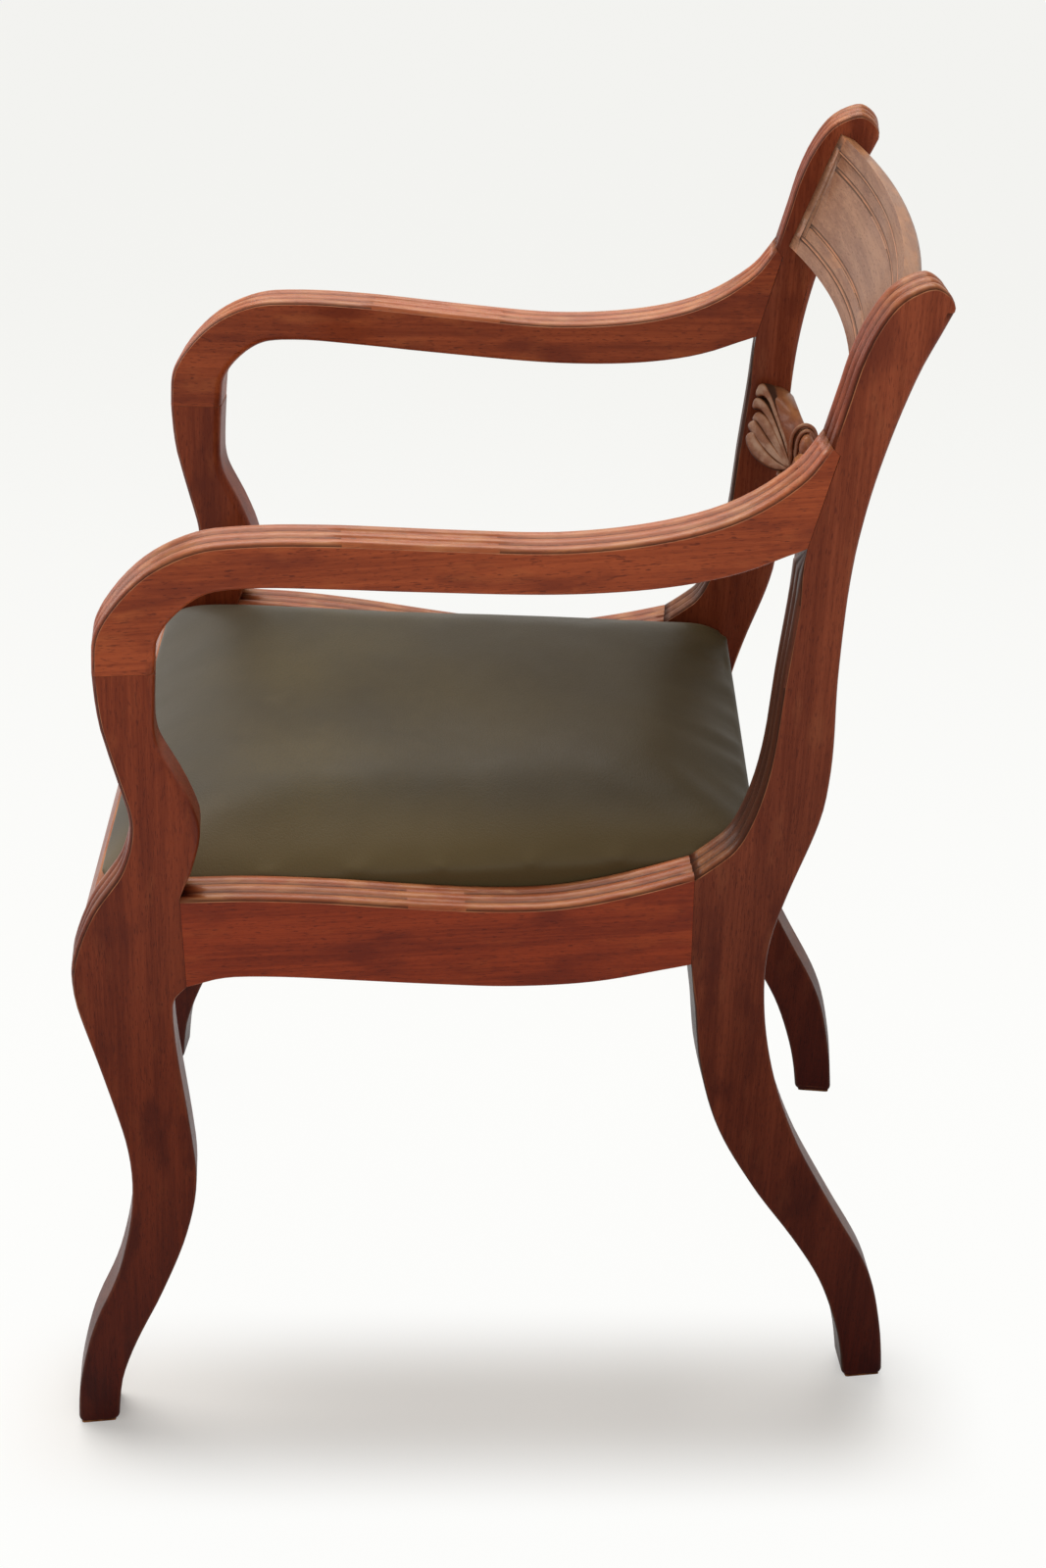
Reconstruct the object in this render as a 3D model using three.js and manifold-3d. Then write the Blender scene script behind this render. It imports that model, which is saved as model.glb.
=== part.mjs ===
// A scroll-arm dining chair of the klismos kind: sabre legs, reeded side frames, a bowed tablet crest
// rail, a middle rail carved with palmettes and volutes, and a leather seat that lifts out.
//
// Millimetres, +Z up. The front of the chair faces -Y and +X is the sitter's left. The origin is on the
// floor, in the middle of the chair's footprint.
//
// Outlines are pairs of shares. The first runs from the front toe (0) to the rear heel (1). The second
// is a level: 2.25 lies a quarter of the way from the height of level 2 to the height of level 3.

import * as THREE from "three";
import { mergeVertices } from "three/addons/utils/BufferGeometryUtils.js";
import Module from "manifold-3d";

// The whole chair
const frontWidth = 504;
const rearWidth = 400;
const faceDepth = 607;
const seatLedgeHeight = 418;
const armJointHeight = 620;
const armTopHeight = 706;
const overallHeight = 858;
const frameThickness = 32;

// Fits between pieces
const glueGap = 0.3;
const seatClearance = 0.8;
const cutOverrun = 5;

// Reeds along the front and top edges of the side frames
const reedCount = 3;
const reedDepth = 2.4;
const reedFade = 24;

// Joints inside the side frames
const railTenonThickness = 10;
const railTenonShoulder = 12;
const frontTenonLength = 24;
const rearTenonLength = 20;
const armTenonThickness = 12;
const armTenonHeight = 30;
const armTenonLength = 13;
const dowelRadius = 5;
const dowelLength = 40;

// Seat rails, and the tenons of the front and rear ones
const railBelowLedge = 34;
const railAboveLedge = 36;
const frontRailSetback = 2;
const frontLipThickness = 13;
const frontLedgeWidth = 10;
const rearLipThickness = 10;
const rearLedgeWidth = 14;
const lipDrop = 13;
const crossTenonThickness = 9;
const crossTenonHeight = 20;
const crossTenonLength = 18;

// Crest rail
const crestThickness = 14;
const crestFootBow = 22;
const crestHeadBow = 18;
const crestTopRound = 5;
const crestTenonThickness = 8;
const crestTenonHeight = 48;
const crestTenonLength = 14;

// Moulded border on the front of the crest rail
const borderMargin = 9;
const borderBeadWidth = 3.6;
const borderQuirkDepth = 1;
const borderFieldDepth = 1.6;
const innerLineInset = 20;
const innerLineWidth = 4;

// Middle rail of the back
const middleThickness = 17;
const middleBow = 14;
const middleCentreHeight = 32;
const middleArris = 3;
const middleTenonThickness = 8;
const middleTenonHeight = 34;
const middleTenonLength = 14;

// Carving on the middle rail
const voluteRadius = 14;
const voluteFromStile = 70;
const voluteEyeRadius = 5;
const voluteRimRadius = 1.8;
const voluteTurns = 1.3;
const lobeCount = 6;
const lobeLongest = 66;
const lobeShortest = 36;
const lobeWidth = 14;
const lobeThickness = 9;
const lobeFlare = 20;
const palmetteRootFromStile = 52;
const palmetteRootRise = 16;
const collarRadius = 6;
const roundelRadius = 12;
const roundelDepth = 4;

// Corner blocks and their screws
const blockHeight = 26;
const screwFromJoint = 16;
const screwFromBlockEnd = 22;
const screwGrip = 15;
const screwBlockGrip = 16;
const screwRadius = 2;
const screwTipLength = 5;
const screwHeadRadius = 4;
const screwHeadHeight = 2.6;

// Frame, webbing and sacking of the drop-in seat
const seatMemberWidth = 50;
const seatMemberThickness = 20;
const seatTenonThickness = 8;
const seatTenonLength = 16;
const webbingWidth = 50;
const webbingThickness = 2;
const webbingSpacing = 100;
const webbingSetback = 12;
const webbingEase = 4;
const sackingThickness = 1;
const sackingSetback = 10;

// Leather of the drop-in seat
const leatherThickness = 1.8;
const leatherTurnUnder = 18;
const seatRollDrop = 5;
const seatCrownRise = 40;
const seatFrontRoll = 12;
const seatRearRoll = 13;
const rollAir = 1.5;
const skirtCornerRadius = 8;
const rollCornerRadius = 24;

// Fineness of curves
const bendAngle = 0.14;
const longestStep = 18;
const fineStep = 1.5;
const dowelSides = 12;
const screwSides = 8;
const stationLength = 18;
const voluteSides = 20;
const rimSteps = 26;
const rimSides = 6;
const ballSides = 8;
const ballRows = 6;
const lobeSides = 8;
const lobeRows = 8;
const crestRoundSteps = 3;
const planCornerSteps = 4;
const planSideSteps = 4;

// Outlines of the side frames, as shares
const frontJointShare = 0.172;
const rearJointShare = 0.735;
const supportFrontShares = [
  [0.1, 3], [0.102, 2.8], [0.115, 2.56], [0.125, 2.34], [0.112, 2.15], [0.074, 1.86], [0.049, 1.3],
];
const legFrontShares = [
  [0.049, 0.985], [0.071, 0.815], [0.091, 0.64], [0.089, 0.52], [0.066, 0.367], [0.03, 0.235],
  [0.006, 0.09], [0, 0],
];
const legBackShares = [
  [0.049, 0], [0.058, 0.1], [0.08, 0.195], [0.114, 0.307], [0.15, 0.45], [0.166, 0.57], [0.163, 0.71],
  [0.155, 0.9], [0.158, 0.975], [frontJointShare, 1.01],
];
const supportBackShares = [
  [frontJointShare, 2], [0.188, 2.13], [0.199, 2.31], [0.181, 2.525], [0.161, 2.7], [0.165, 3],
];
const armUnderShares = [
  [0.165, 3], [0.17, 3.24], [0.188, 3.43], [0.222, 3.6], [0.268, 3.64], [0.35, 3.616], [0.44, 3.57],
  [0.6, 3.512], [0.703, 3.547], [0.775, 3.645], [0.837, 3.82],
];
const armShoulderShares = [0.865, 4.303];
const armTopShares = [
  [0.855, 4.345], [0.834, 4.224], [0.799, 4.112], [0.756, 4.026], [0.69, 3.93], [0.591, 3.872],
  [0.471, 3.919], [0.35, 3.985], [0.27, 4], [0.215, 3.965], [0.166, 3.81], [0.129, 3.57], [0.106, 3.31],
  [0.1, 3],
];
const stileFrontShares = [
  [0.837, 3.82], [0.834, 3.7], [0.829, 3.31], [0.819, 2.83], [0.81, 2.5], [0.795, 2.27], [0.775, 2.12],
  [rearJointShare, 2],
];
const rearLegFrontShares = [
  [rearJointShare, 1], [0.742, 0.9], [0.75, 0.78], [0.774, 0.635], [0.82, 0.49], [0.878, 0.345],
  [0.913, 0.24], [0.94, 0.1], [0.949, 0],
];
const rearLegBackShares = [
  [1, 0], [0.993, 0.109], [0.972, 0.26], [0.919, 0.43], [0.87, 0.59], [0.839, 0.737], [0.823, 0.88],
  [0.822, 1.09], [0.837, 1.65], [0.858, 2.08], [0.873, 2.26], [0.88, 2.5], [0.88, 2.9], [0.886, 3.56],
  [0.897, 4.05], [0.92, 4.4], [0.943, 4.66], [0.96, 4.8], [0.97, 4.89],
];
const scrollShares = [
  [0.968, 4.935], [0.96, 4.975], [0.948, 5], [0.93, 4.982], [0.912, 4.935], [0.896, 4.85], [0.88, 4.711],
  [0.867, 4.52], [0.855, 4.345],
];

// Outlines of a side rail, as shares of its own length, and levels
const sideRailUnderShares = [
  [0, 1.01], [0.04, 1.06], [0.09, 1.09], [0.2, 1.06], [0.34, 0.997], [0.48, 0.983], [0.64, 0.97],
  [0.8, 0.971], [0.9, 0.983], [1, 1],
];
const sideRailTopShares = [
  [1, 2], [0.935, 1.912], [0.86, 1.828], [0.79, 1.765], [0.71, 1.729], [0.6, 1.743], [0.45, 1.817],
  [0.28, 1.92], [0.12, 1.986], [0, 2],
];

// Places of the cross rails, as shares of the depth, and levels
const rearRailShare = 0.809;
const crestFootShares = [0.8666, 4.36];
const crestHeadShares = [0.9193, 4.905];
const middleFootShares = [0.851, 2.85];
const middleHeadShares = [0.851, 3.36];
const voluteTopLevelShare = 3.34;

// Shape of the seat's crown and of the carving, as shares and powers
const seatCrownPower = 2.4;
const seatCentreShare = 0.47;
const seatCrownTurnShares = [0.86, 0.7, 0.55, 0.41, 0.28, 0.16, 0.07];
const reedArcShares = [-1, -0.6, 0, 0.6, 1];
const skirtToRollShare = 0.6;
const skirtRiseShare = 0.3;
const lobeTaperShare = 0.35;
const middleDipShare = 0.35;

// Angles of the top and bottom lobes of a palmette, up from level
const lobeTopAngle = 0.73;
const lobeBottomAngle = -0.55;

const railUnderHeight = seatLedgeHeight - railBelowLedge;
const railTopHeight = seatLedgeHeight + railAboveLedge;
const levels = [0, railUnderHeight, railTopHeight, armJointHeight, armTopHeight, overallHeight];
const splay = Math.atan((frontWidth - rearWidth) / 2 / faceDepth);
const sideLength = faceDepth / Math.cos(splay);
const lipHeight = railTopHeight - lipDrop;

const mahogany = { color: 0x8c4a2b, roughness: 0.36, metalness: 0 };
const armMahogany = { color: 0x9a5530, roughness: 0.34, metalness: 0 };
const beech = { color: 0xc9a574, roughness: 0.7, metalness: 0 };
const leather = { color: 0x43453a, roughness: 0.45, metalness: 0 };
const steel = { color: 0x6d6a64, roughness: 0.45, metalness: 1 };
const jute = { color: 0xa88c5f, roughness: 0.95, metalness: 0 };
const sacking = { color: 0xb49c70, roughness: 0.95, metalness: 0 };
const horsehair = { color: 0x5b5048, roughness: 0.95, metalness: 0 };

const wasm = await Module();
wasm.setup();

// Height of a level
function heightOf(level) {
  const lower = Math.min(Math.floor(level), levels.length - 2);
  return THREE.MathUtils.lerp(levels[lower], levels[lower + 1], level - lower);
}

// Point in the plane of a side frame: distance along the frame, and height
function sidePoint([alongShare, level]) {
  return new THREE.Vector2(alongShare * sideLength, heightOf(level));
}

// Point in the chair's middle plane: depth, and height
function chairPoint([depthShare, level]) {
  return new THREE.Vector2(depthShare * faceDepth, heightOf(level));
}

// Point of a side rail, whose ends stand off the legs by one glue line
function railPoint([lengthShare, level]) {
  const front = frontJointShare * sideLength + glueGap;
  const rear = rearJointShare * sideLength - glueGap;
  return new THREE.Vector2(THREE.MathUtils.lerp(front, rear, lengthShare), heightOf(level));
}

// Half of the clear width between the side frames at a depth
function innerHalf(depth) {
  return frontWidth / 2 - frameThickness / Math.cos(splay) - depth * Math.tan(splay);
}

// Depth at which a place along a side frame comes out on its inner face
function innerDepth(along) {
  return along * Math.cos(splay) - frameThickness * Math.sin(splay);
}

// Closed mesh from lists of coordinates and triangle corners
function meshGeometry(positions, indices) {
  const geometry = new THREE.BufferGeometry();
  geometry.setAttribute("position", new THREE.Float32BufferAttribute(positions, 3));
  geometry.setIndex(indices);
  return geometry;
}

// Solid for cutting and joining
function solidOf(geometry) {
  const bare = geometry.clone();
  bare.deleteAttribute("normal");
  bare.deleteAttribute("uv");
  const merged = mergeVertices(bare);
  return new wasm.Manifold(new wasm.Mesh({
    numProp: 3,
    vertProperties: new Float32Array(merged.attributes.position.array),
    triVerts: new Uint32Array(merged.index.array),
  }));
}

function geometryOf(solid) {
  const { vertProperties, triVerts } = solid.getMesh();
  return meshGeometry([...vertProperties], [...triVerts]);
}

// A body with some pieces cut away from it and others joined to it
function worked(body, { trim, cuts = [], joins = [] }) {
  let solid = solidOf(body);
  for (const join of joins) {
    solid = solid.add(solidOf(join));
  }
  if (trim) {
    solid = solid.intersect(solidOf(trim));
  }
  for (const cut of cuts) {
    solid = solid.subtract(solidOf(cut));
  }
  return geometryOf(solid);
}

// Box turned about X and then moved
function boxGeometry({ middle, sizes, lean = 0 }) {
  const geometry = new THREE.BoxGeometry(sizes.x, sizes.y, sizes.z).rotateX(lean);
  return geometry.translate(middle.x, middle.y, middle.z);
}

// The same box with a glue line all round, for cutting a mortise
function mortiseGeometry({ middle, sizes, lean }) {
  return boxGeometry({ middle, sizes: sizes.clone().addScalar(2 * glueGap), lean });
}

// Upright prism over an outline in plan
function prismGeometry(outline, bottom, top) {
  const shape = new THREE.Shape(outline);
  const geometry = new THREE.ExtrudeGeometry(shape, { depth: top - bottom, bevelEnabled: false });
  return geometry.translate(0, 0, bottom);
}

// Bar along X, with a section drawn in depth and height
function barGeometry(section, halfLength) {
  const shape = new THREE.Shape(section);
  const geometry = new THREE.ExtrudeGeometry(shape, { depth: 2 * halfLength, bevelEnabled: false });
  const turn = new THREE.Matrix4().makeBasis(
    new THREE.Vector3(0, 1, 0), new THREE.Vector3(0, 0, 1), new THREE.Vector3(1, 0, 0));
  return geometry.translate(0, 0, -halfLength).applyMatrix4(turn);
}

// Skin through closed rings, anticlockwise about the way they follow each other. The flatten function
// lays an end ring out in two dimensions.
function loftGeometry(rings, flatten) {
  const positions = rings.flat().flatMap((point) => [point.x, point.y, point.z]);
  const count = rings[0].length;
  const indices = [];
  for (let ring = 0; ring + 1 < rings.length; ring++) {
    for (let corner = 0; corner < count; corner++) {
      const here = ring * count + corner;
      const beside = ring * count + ((corner + 1) % count);
      indices.push(here, beside, beside + count, here, beside + count, here + count);
    }
  }
  const lastStart = (rings.length - 1) * count;
  for (const face of THREE.ShapeUtils.triangulateShape(rings[0].map(flatten), [])) {
    indices.push(...face.reverse());
  }
  for (const face of THREE.ShapeUtils.triangulateShape(rings[rings.length - 1].map(flatten), [])) {
    indices.push(...face.map((corner) => corner + lastStart));
  }
  return meshGeometry(positions, indices);
}

const flattenUpright = (point) => new THREE.Vector2(point.y, point.z);
const flattenPlan = (point) => new THREE.Vector2(point.x, point.y);

// Mirror image in the plane X = 0, still facing out
function mirrored(geometry) {
  const copy = geometry.clone().applyMatrix4(new THREE.Matrix4().makeScale(-1, 1, 1));
  if (copy.index === null) {
    copy.setIndex([...Array(copy.attributes.position.count).keys()]);
  }
  const order = [...copy.index.array];
  for (let corner = 0; corner < order.length; corner += 3) {
    [order[corner], order[corner + 1]] = [order[corner + 1], order[corner]];
  }
  copy.setIndex(order);
  return copy;
}

// Points along a smooth curve, closer together where it bends, each with its distance along the curve
function bend(points) {
  const knots = points.map((point) => new THREE.Vector3(point.x, point.y, 0));
  const curve = new THREE.CatmullRomCurve3(knots, false, "centripetal");
  const count = Math.ceil(curve.getLength() / fineStep);
  curve.arcLengthDivisions = count;
  curve.updateArcLengths();
  const length = curve.getLength();
  const fine = curve.getSpacedPoints(count).map((point, index) => ({
    point: new THREE.Vector2(point.x, point.y),
    travel: (index / count) * length,
  }));
  const heading = (index) => fine[index + 1].point.clone().sub(fine[index].point).angle();
  const kept = [fine[0]];
  let lastKept = 0;
  for (let index = 1; index < count; index++) {
    const turn = Math.abs(heading(index) - heading(lastKept));
    const step = fine[index].travel - fine[lastKept].travel;
    if (Math.min(turn, 2 * Math.PI - turn) > bendAngle || step > longestStep) {
      kept.push(fine[index]);
      lastKept = index;
    }
  }
  kept.push(fine[count]);
  const knotTravel = (knot) => curve.getLengths()[Math.round((knot / (knots.length - 1)) * count)];
  return { kept, knotTravel };
}

// Stretch of an outline. Reeds cover it from one of its knots to another and fade out there, unless
// the stretch itself starts or ends with them.
function stretch(points, { reedsFrom = Infinity, reedsTo = Infinity } = {}) {
  const { kept, knotTravel } = bend(points);
  return kept.map(({ point, travel }) => {
    if (reedsFrom === Infinity) {
      return { point, strength: 0 };
    }
    const started = reedsFrom === 0 ? 1 : (travel - knotTravel(reedsFrom)) / reedFade;
    const remaining = reedsTo === Infinity ? 1 : (knotTravel(reedsTo) - travel) / reedFade;
    return { point, strength: THREE.MathUtils.clamp(Math.min(started, remaining), 0, 1) };
  });
}

const reeded = { reedsFrom: 0 };

// Joins stretches into one closed outline, without repeated points
function joinStretches(...stretches) {
  const outline = [];
  stretches.forEach((entries, member) => {
    for (const entry of entries) {
      const last = outline[outline.length - 1];
      if (last && last.point.distanceTo(entry.point) < glueGap / 2) {
        last.members.push(member);
      } else {
        outline.push({ ...entry, members: [member] });
      }
    }
  });
  return outline;
}

const corner = (point) => [{ point, strength: 0 }];

// Layers across the thickness of a frame, with the depth of the reeds below their crowns
function reedLayers() {
  const layers = [];
  for (let reed = 0; reed < reedCount; reed++) {
    for (const step of reed === 0 ? reedArcShares : reedArcShares.slice(1)) {
      layers.push({
        across: ((reed + (step + 1) / 2) / reedCount) * frameThickness,
        depth: (1 - Math.sqrt(1 - step * step)) * reedDepth,
      });
    }
  }
  return layers;
}

// Way in which reeds sink at a point of an outline. Where the reeds end at a joint, it lies along it.
function reedSinking(before, here, after) {
  const incoming = here.point.clone().sub(before.point).normalize();
  const outgoing = after.point.clone().sub(here.point).normalize();
  const inward = (heading) => new THREE.Vector2(-heading.y, heading.x);
  const startsHere = !here.members.some((member) => before.members.includes(member));
  const endsHere = !here.members.some((member) => after.members.includes(member));
  if (startsHere) {
    return incoming.clone().negate().divideScalar(-incoming.dot(inward(outgoing)));
  }
  if (endsHere) {
    return outgoing.clone().divideScalar(outgoing.dot(inward(incoming)));
  }
  return inward(incoming.add(outgoing).normalize());
}

// Board in the plane of the left side frame, with its outer face at x = 0. The outline runs
// anticlockwise seen from outside, and its edge carries reeds where its points have strength.
function boardGeometry(outline) {
  const layers = reedLayers();
  const positions = [];
  const indices = [];
  const neighbour = (index, step) => outline[(index + step + outline.length) % outline.length];
  const rows = outline.map((here, index) => {
    const carved = here.strength > 0;
    const inward = carved
      ? reedSinking(neighbour(index, -1), here, neighbour(index, 1))
      : new THREE.Vector2();
    const used = carved ? layers : [layers[0], layers[layers.length - 1]];
    return used.map(({ across, depth }) => {
      const sunk = here.point.clone().addScaledVector(inward, depth * here.strength);
      positions.push(-across, sunk.x, sunk.y);
      return positions.length / 3 - 1;
    });
  });
  const flat = (vertex) => new THREE.Vector2(positions[3 * vertex + 1], positions[3 * vertex + 2]);
  rows.forEach((row, index) => {
    const next = rows[(index + 1) % rows.length];
    const after = neighbour(index, 1);
    const ring = [...row, ...[...next].reverse()];
    const sameStretch = outline[index].members.some((member) => after.members.includes(member));
    if (row.length === next.length && sameStretch) {
      for (let layer = 0; layer + 1 < row.length; layer++) {
        indices.push(row[layer], row[layer + 1], next[layer + 1], row[layer], next[layer + 1], next[layer]);
      }
    } else if (sameStretch) {
      const apex = row.length < next.length ? 0 : ring.length - 1;
      for (let step = 1; step + 1 < ring.length; step++) {
        const spot = (place) => ring[(apex + place) % ring.length];
        indices.push(spot(0), spot(step), spot(step + 1));
      }
    } else {
      const heading = after.point.clone().sub(outline[index].point).normalize();
      const contour = ring.map((vertex) => new THREE.Vector2(
        -positions[3 * vertex], flat(vertex).sub(outline[index].point).dot(heading)));
      for (const face of THREE.ShapeUtils.triangulateShape(contour, [])) {
        indices.push(...face.map((place) => ring[place]));
      }
    }
  });
  const outerRing = rows.map((row) => row[0]);
  const innerRing = rows.map((row) => row[row.length - 1]);
  for (const face of THREE.ShapeUtils.triangulateShape(outerRing.map(flat), [])) {
    indices.push(...face.map((place) => outerRing[place]));
  }
  for (const face of THREE.ShapeUtils.triangulateShape(innerRing.map(flat), [])) {
    indices.push(...face.reverse().map((place) => innerRing[place]));
  }
  return meshGeometry(positions, indices);
}

// From the chair's own frame into the plane of the left side frame, and back
const fromLeftPlane = new THREE.Matrix4().makeRotationZ(splay).setPosition(frontWidth / 2, 0, 0);
const toLeftPlane = fromLeftPlane.clone().invert();

// Space between the two side frames, less one glue line each side
function betweenFrames(front, rear) {
  const half = (depth) => innerHalf(depth) - glueGap;
  return prismGeometry([
    new THREE.Vector2(-half(front), front),
    new THREE.Vector2(half(front), front),
    new THREE.Vector2(half(rear), rear),
    new THREE.Vector2(-half(rear), rear),
  ], -cutOverrun, overallHeight + cutOverrun);
}

// Tenon of a cross rail: part of it lies in the rail and the rest in the left side frame
function crossTenon({ x, y, z, thickness, height, length, lean = 0 }) {
  return {
    middle: new THREE.Vector3(x + (length - cutOverrun) / 2, y, z),
    sizes: new THREE.Vector3(length + cutOverrun, thickness, height),
    lean,
  };
}

// Cross rail trimmed to the side frames, with a tenon at each end
function crossRailGeometry(body, tenon, joins = []) {
  const trimmed = worked(body, { joins, trim: betweenFrames(-cutOverrun, faceDepth + cutOverrun) });
  const left = boxGeometry(tenon);
  return worked(trimmed, { joins: [left, mirrored(left)] });
}

// Stretches of the side frame
const frontEdge = stretch([...supportFrontShares, ...legFrontShares].map(sidePoint),
  { reedsFrom: 0, reedsTo: supportFrontShares.length });
const legBack = stretch(legBackShares.map(sidePoint));
const supportBack = stretch(supportBackShares.map(sidePoint));
const rearEdge = stretch([...rearLegBackShares, ...scrollShares].map(sidePoint),
  { reedsFrom: rearLegBackShares.length - 1 });
const stileFront = stretch(stileFrontShares.map(sidePoint), { reedsFrom: 1 });
const rearLegFront = stretch(rearLegFrontShares.map(sidePoint));
const armUnder = stretch(armUnderShares.map(sidePoint));
const armTop = stretch(armTopShares.map(sidePoint), reeded);
const sideRailUnder = stretch(sideRailUnderShares.map(railPoint));
const sideRailTop = stretch(sideRailTopShares.map(railPoint), reeded);
const armShoulder = sidePoint(armShoulderShares);

// Depth of the frame's front edge on its inner face, at a height
function frontEdgeDepth(height) {
  const upper = frontEdge.findLast(({ point }) => point.y >= height).point;
  const lower = frontEdge.find(({ point }) => point.y < height).point;
  const share = (height - lower.y) / (upper.y - lower.y);
  return innerDepth(THREE.MathUtils.lerp(lower.x, upper.x, share));
}

// Tenon within a side frame, half in each of the pieces that it joins
function sideTenon(along, height, thickness, tall, length) {
  return {
    middle: new THREE.Vector3(-frameThickness / 2, along, height),
    sizes: new THREE.Vector3(thickness, 2 * length, tall),
  };
}

const railTenonHeight = railTopHeight - railUnderHeight - 2 * railTenonShoulder;
const railTenonMiddle = (railTopHeight + railUnderHeight) / 2;
const frontTenon = sideTenon(
  frontJointShare * sideLength, railTenonMiddle, railTenonThickness, railTenonHeight, frontTenonLength);
const rearTenon = sideTenon(
  rearJointShare * sideLength, railTenonMiddle, railTenonThickness, railTenonHeight, rearTenonLength);
const armJointFoot = sidePoint(stileFrontShares[0]);
const armTenon = sideTenon(
  (armJointFoot.x + armShoulder.x) / 2, (armJointFoot.y + armShoulder.y) / 2,
  armTenonThickness, armTenonHeight, armTenonLength);

// Dowel between the front leg's support and the arm
const dowelAlong = (supportBack[supportBack.length - 1].point.x + frontEdge[0].point.x) / 2;

function dowelGeometry(clearance = 0) {
  const radius = dowelRadius + clearance;
  const geometry = new THREE.CylinderGeometry(radius, radius, dowelLength + 2 * clearance, dowelSides);
  return geometry.rotateX(Math.PI / 2)
    .translate(-frameThickness / 2, dowelAlong, armJointHeight + glueGap / 2);
}

// Front rail: its face follows the front edge of the legs, and a ledge behind its lip carries the seat
const frontLipBack = frontEdgeDepth(lipHeight) + frontRailSetback + frontLipThickness;
const frontRailBack = frontLipBack + frontLedgeWidth;
const rearRailBack = rearRailShare * faceDepth;
const rearLipFront = rearRailBack - rearLipThickness;
const rearRailFront = rearLipFront - rearLedgeWidth;
const ledgeTenonHeight = (railUnderHeight + seatLedgeHeight) / 2;

const frontRailTenon = crossTenon({
  x: innerHalf(frontRailBack), y: (frontEdgeDepth(ledgeTenonHeight) + frontRailBack) / 2, z: ledgeTenonHeight,
  thickness: crossTenonThickness, height: crossTenonHeight, length: crossTenonLength,
});
const rearRailTenon = crossTenon({
  x: innerHalf(rearRailBack), y: (rearRailFront + rearRailBack) / 2, z: ledgeTenonHeight,
  thickness: crossTenonThickness, height: crossTenonHeight, length: crossTenonLength,
});

function frontRailGeometry() {
  const section = [];
  const steps = Math.ceil((lipHeight - railUnderHeight) / (longestStep / 2));
  for (let step = 0; step <= steps; step++) {
    const height = THREE.MathUtils.lerp(lipHeight, railUnderHeight, step / steps);
    section.push(new THREE.Vector2(frontEdgeDepth(height) + frontRailSetback, height));
  }
  section.push(new THREE.Vector2(frontRailBack, railUnderHeight));
  section.push(new THREE.Vector2(frontRailBack, seatLedgeHeight));
  section.push(new THREE.Vector2(frontLipBack, seatLedgeHeight));
  section.push(new THREE.Vector2(frontLipBack, lipHeight));
  return crossRailGeometry(barGeometry(section, frontWidth / 2), frontRailTenon);
}

function rearRailGeometry() {
  const section = [
    new THREE.Vector2(rearRailFront, railUnderHeight),
    new THREE.Vector2(rearRailBack, railUnderHeight),
    new THREE.Vector2(rearRailBack, lipHeight),
    new THREE.Vector2(rearLipFront, lipHeight),
    new THREE.Vector2(rearLipFront, seatLedgeHeight),
    new THREE.Vector2(rearRailFront, seatLedgeHeight),
  ];
  return crossRailGeometry(barGeometry(section, frontWidth / 2), rearRailTenon);
}

// Crest rail
const crestFoot = chairPoint(crestFootShares);
const crestHead = chairPoint(crestHeadShares);
const crestHalf = innerHalf(crestFoot.x);
const crestHeight = crestFoot.distanceTo(crestHead);
const crestLean = Math.atan2(crestHead.x - crestFoot.x, crestHead.y - crestFoot.y);

const crestTenon = crossTenon({
  x: crestHalf,
  y: (crestFoot.x + crestHead.x + crestThickness * Math.cos(crestLean)) / 2,
  z: (crestFoot.y + crestHead.y - crestThickness * Math.sin(crestLean)) / 2,
  thickness: crestTenonThickness, height: crestTenonHeight, length: crestTenonLength, lean: -crestLean,
});

// Bow of a cross rail at a distance from the chair's middle
function bowAt(x, half, bow) {
  return bow * (1 - (x / half) ** 2);
}

// Depth of the moulded border below the crest's face, by the distances in from the nearest end and
// from the nearest long edge
const borderBeadEnd = borderMargin + borderBeadWidth;
const innerLineEnd = innerLineInset + innerLineWidth;

function borderProfile(fromRim) {
  const inset = Math.max(fromRim, 0);
  const steps = [
    [0, 0], [borderMargin, 0], [borderMargin + borderBeadWidth / 4, borderQuirkDepth],
    [borderMargin + borderBeadWidth / 2, 0], [borderBeadEnd, borderFieldDepth],
  ];
  const index = steps.findLastIndex(([start]) => inset >= start);
  if (index === steps.length - 1) {
    return borderFieldDepth;
  }
  const [[start, from], [end, to]] = [steps[index], steps[index + 1]];
  return THREE.MathUtils.lerp(from, to, (inset - start) / (end - start));
}

function borderDepth(fromEnd, fromEdge) {
  const rim = borderProfile(Math.min(fromEnd, fromEdge));
  const lineShare = (fromEdge - innerLineInset) / innerLineWidth;
  const onLine = lineShare > 0 && lineShare < 1 && fromEnd > borderBeadEnd;
  return rim + (onLine ? borderQuirkDepth * Math.abs(Math.cos(Math.PI * lineShare)) : 0);
}

// Distances at which the border's section turns, from an edge towards the middle
const borderTurns = [
  0, borderMargin, borderMargin + borderBeadWidth / 4, borderMargin + borderBeadWidth / 2, borderBeadEnd,
];
const lineTurns = [
  innerLineInset, innerLineInset + innerLineWidth / 8, innerLineInset + innerLineWidth / 2,
  innerLineEnd - innerLineWidth / 8, innerLineEnd,
];

function crestPoint(x, rise, depth) {
  const share = rise / crestHeight;
  const faceDepthHere = THREE.MathUtils.lerp(
    crestFoot.x + bowAt(x, crestHalf, crestFootBow), crestHead.x + bowAt(x, crestHalf, crestHeadBow), share);
  const height = THREE.MathUtils.lerp(crestFoot.y, crestHead.y, share);
  return new THREE.Vector3(
    x, faceDepthHere + depth * Math.cos(crestLean), height - depth * Math.sin(crestLean));
}

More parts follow.
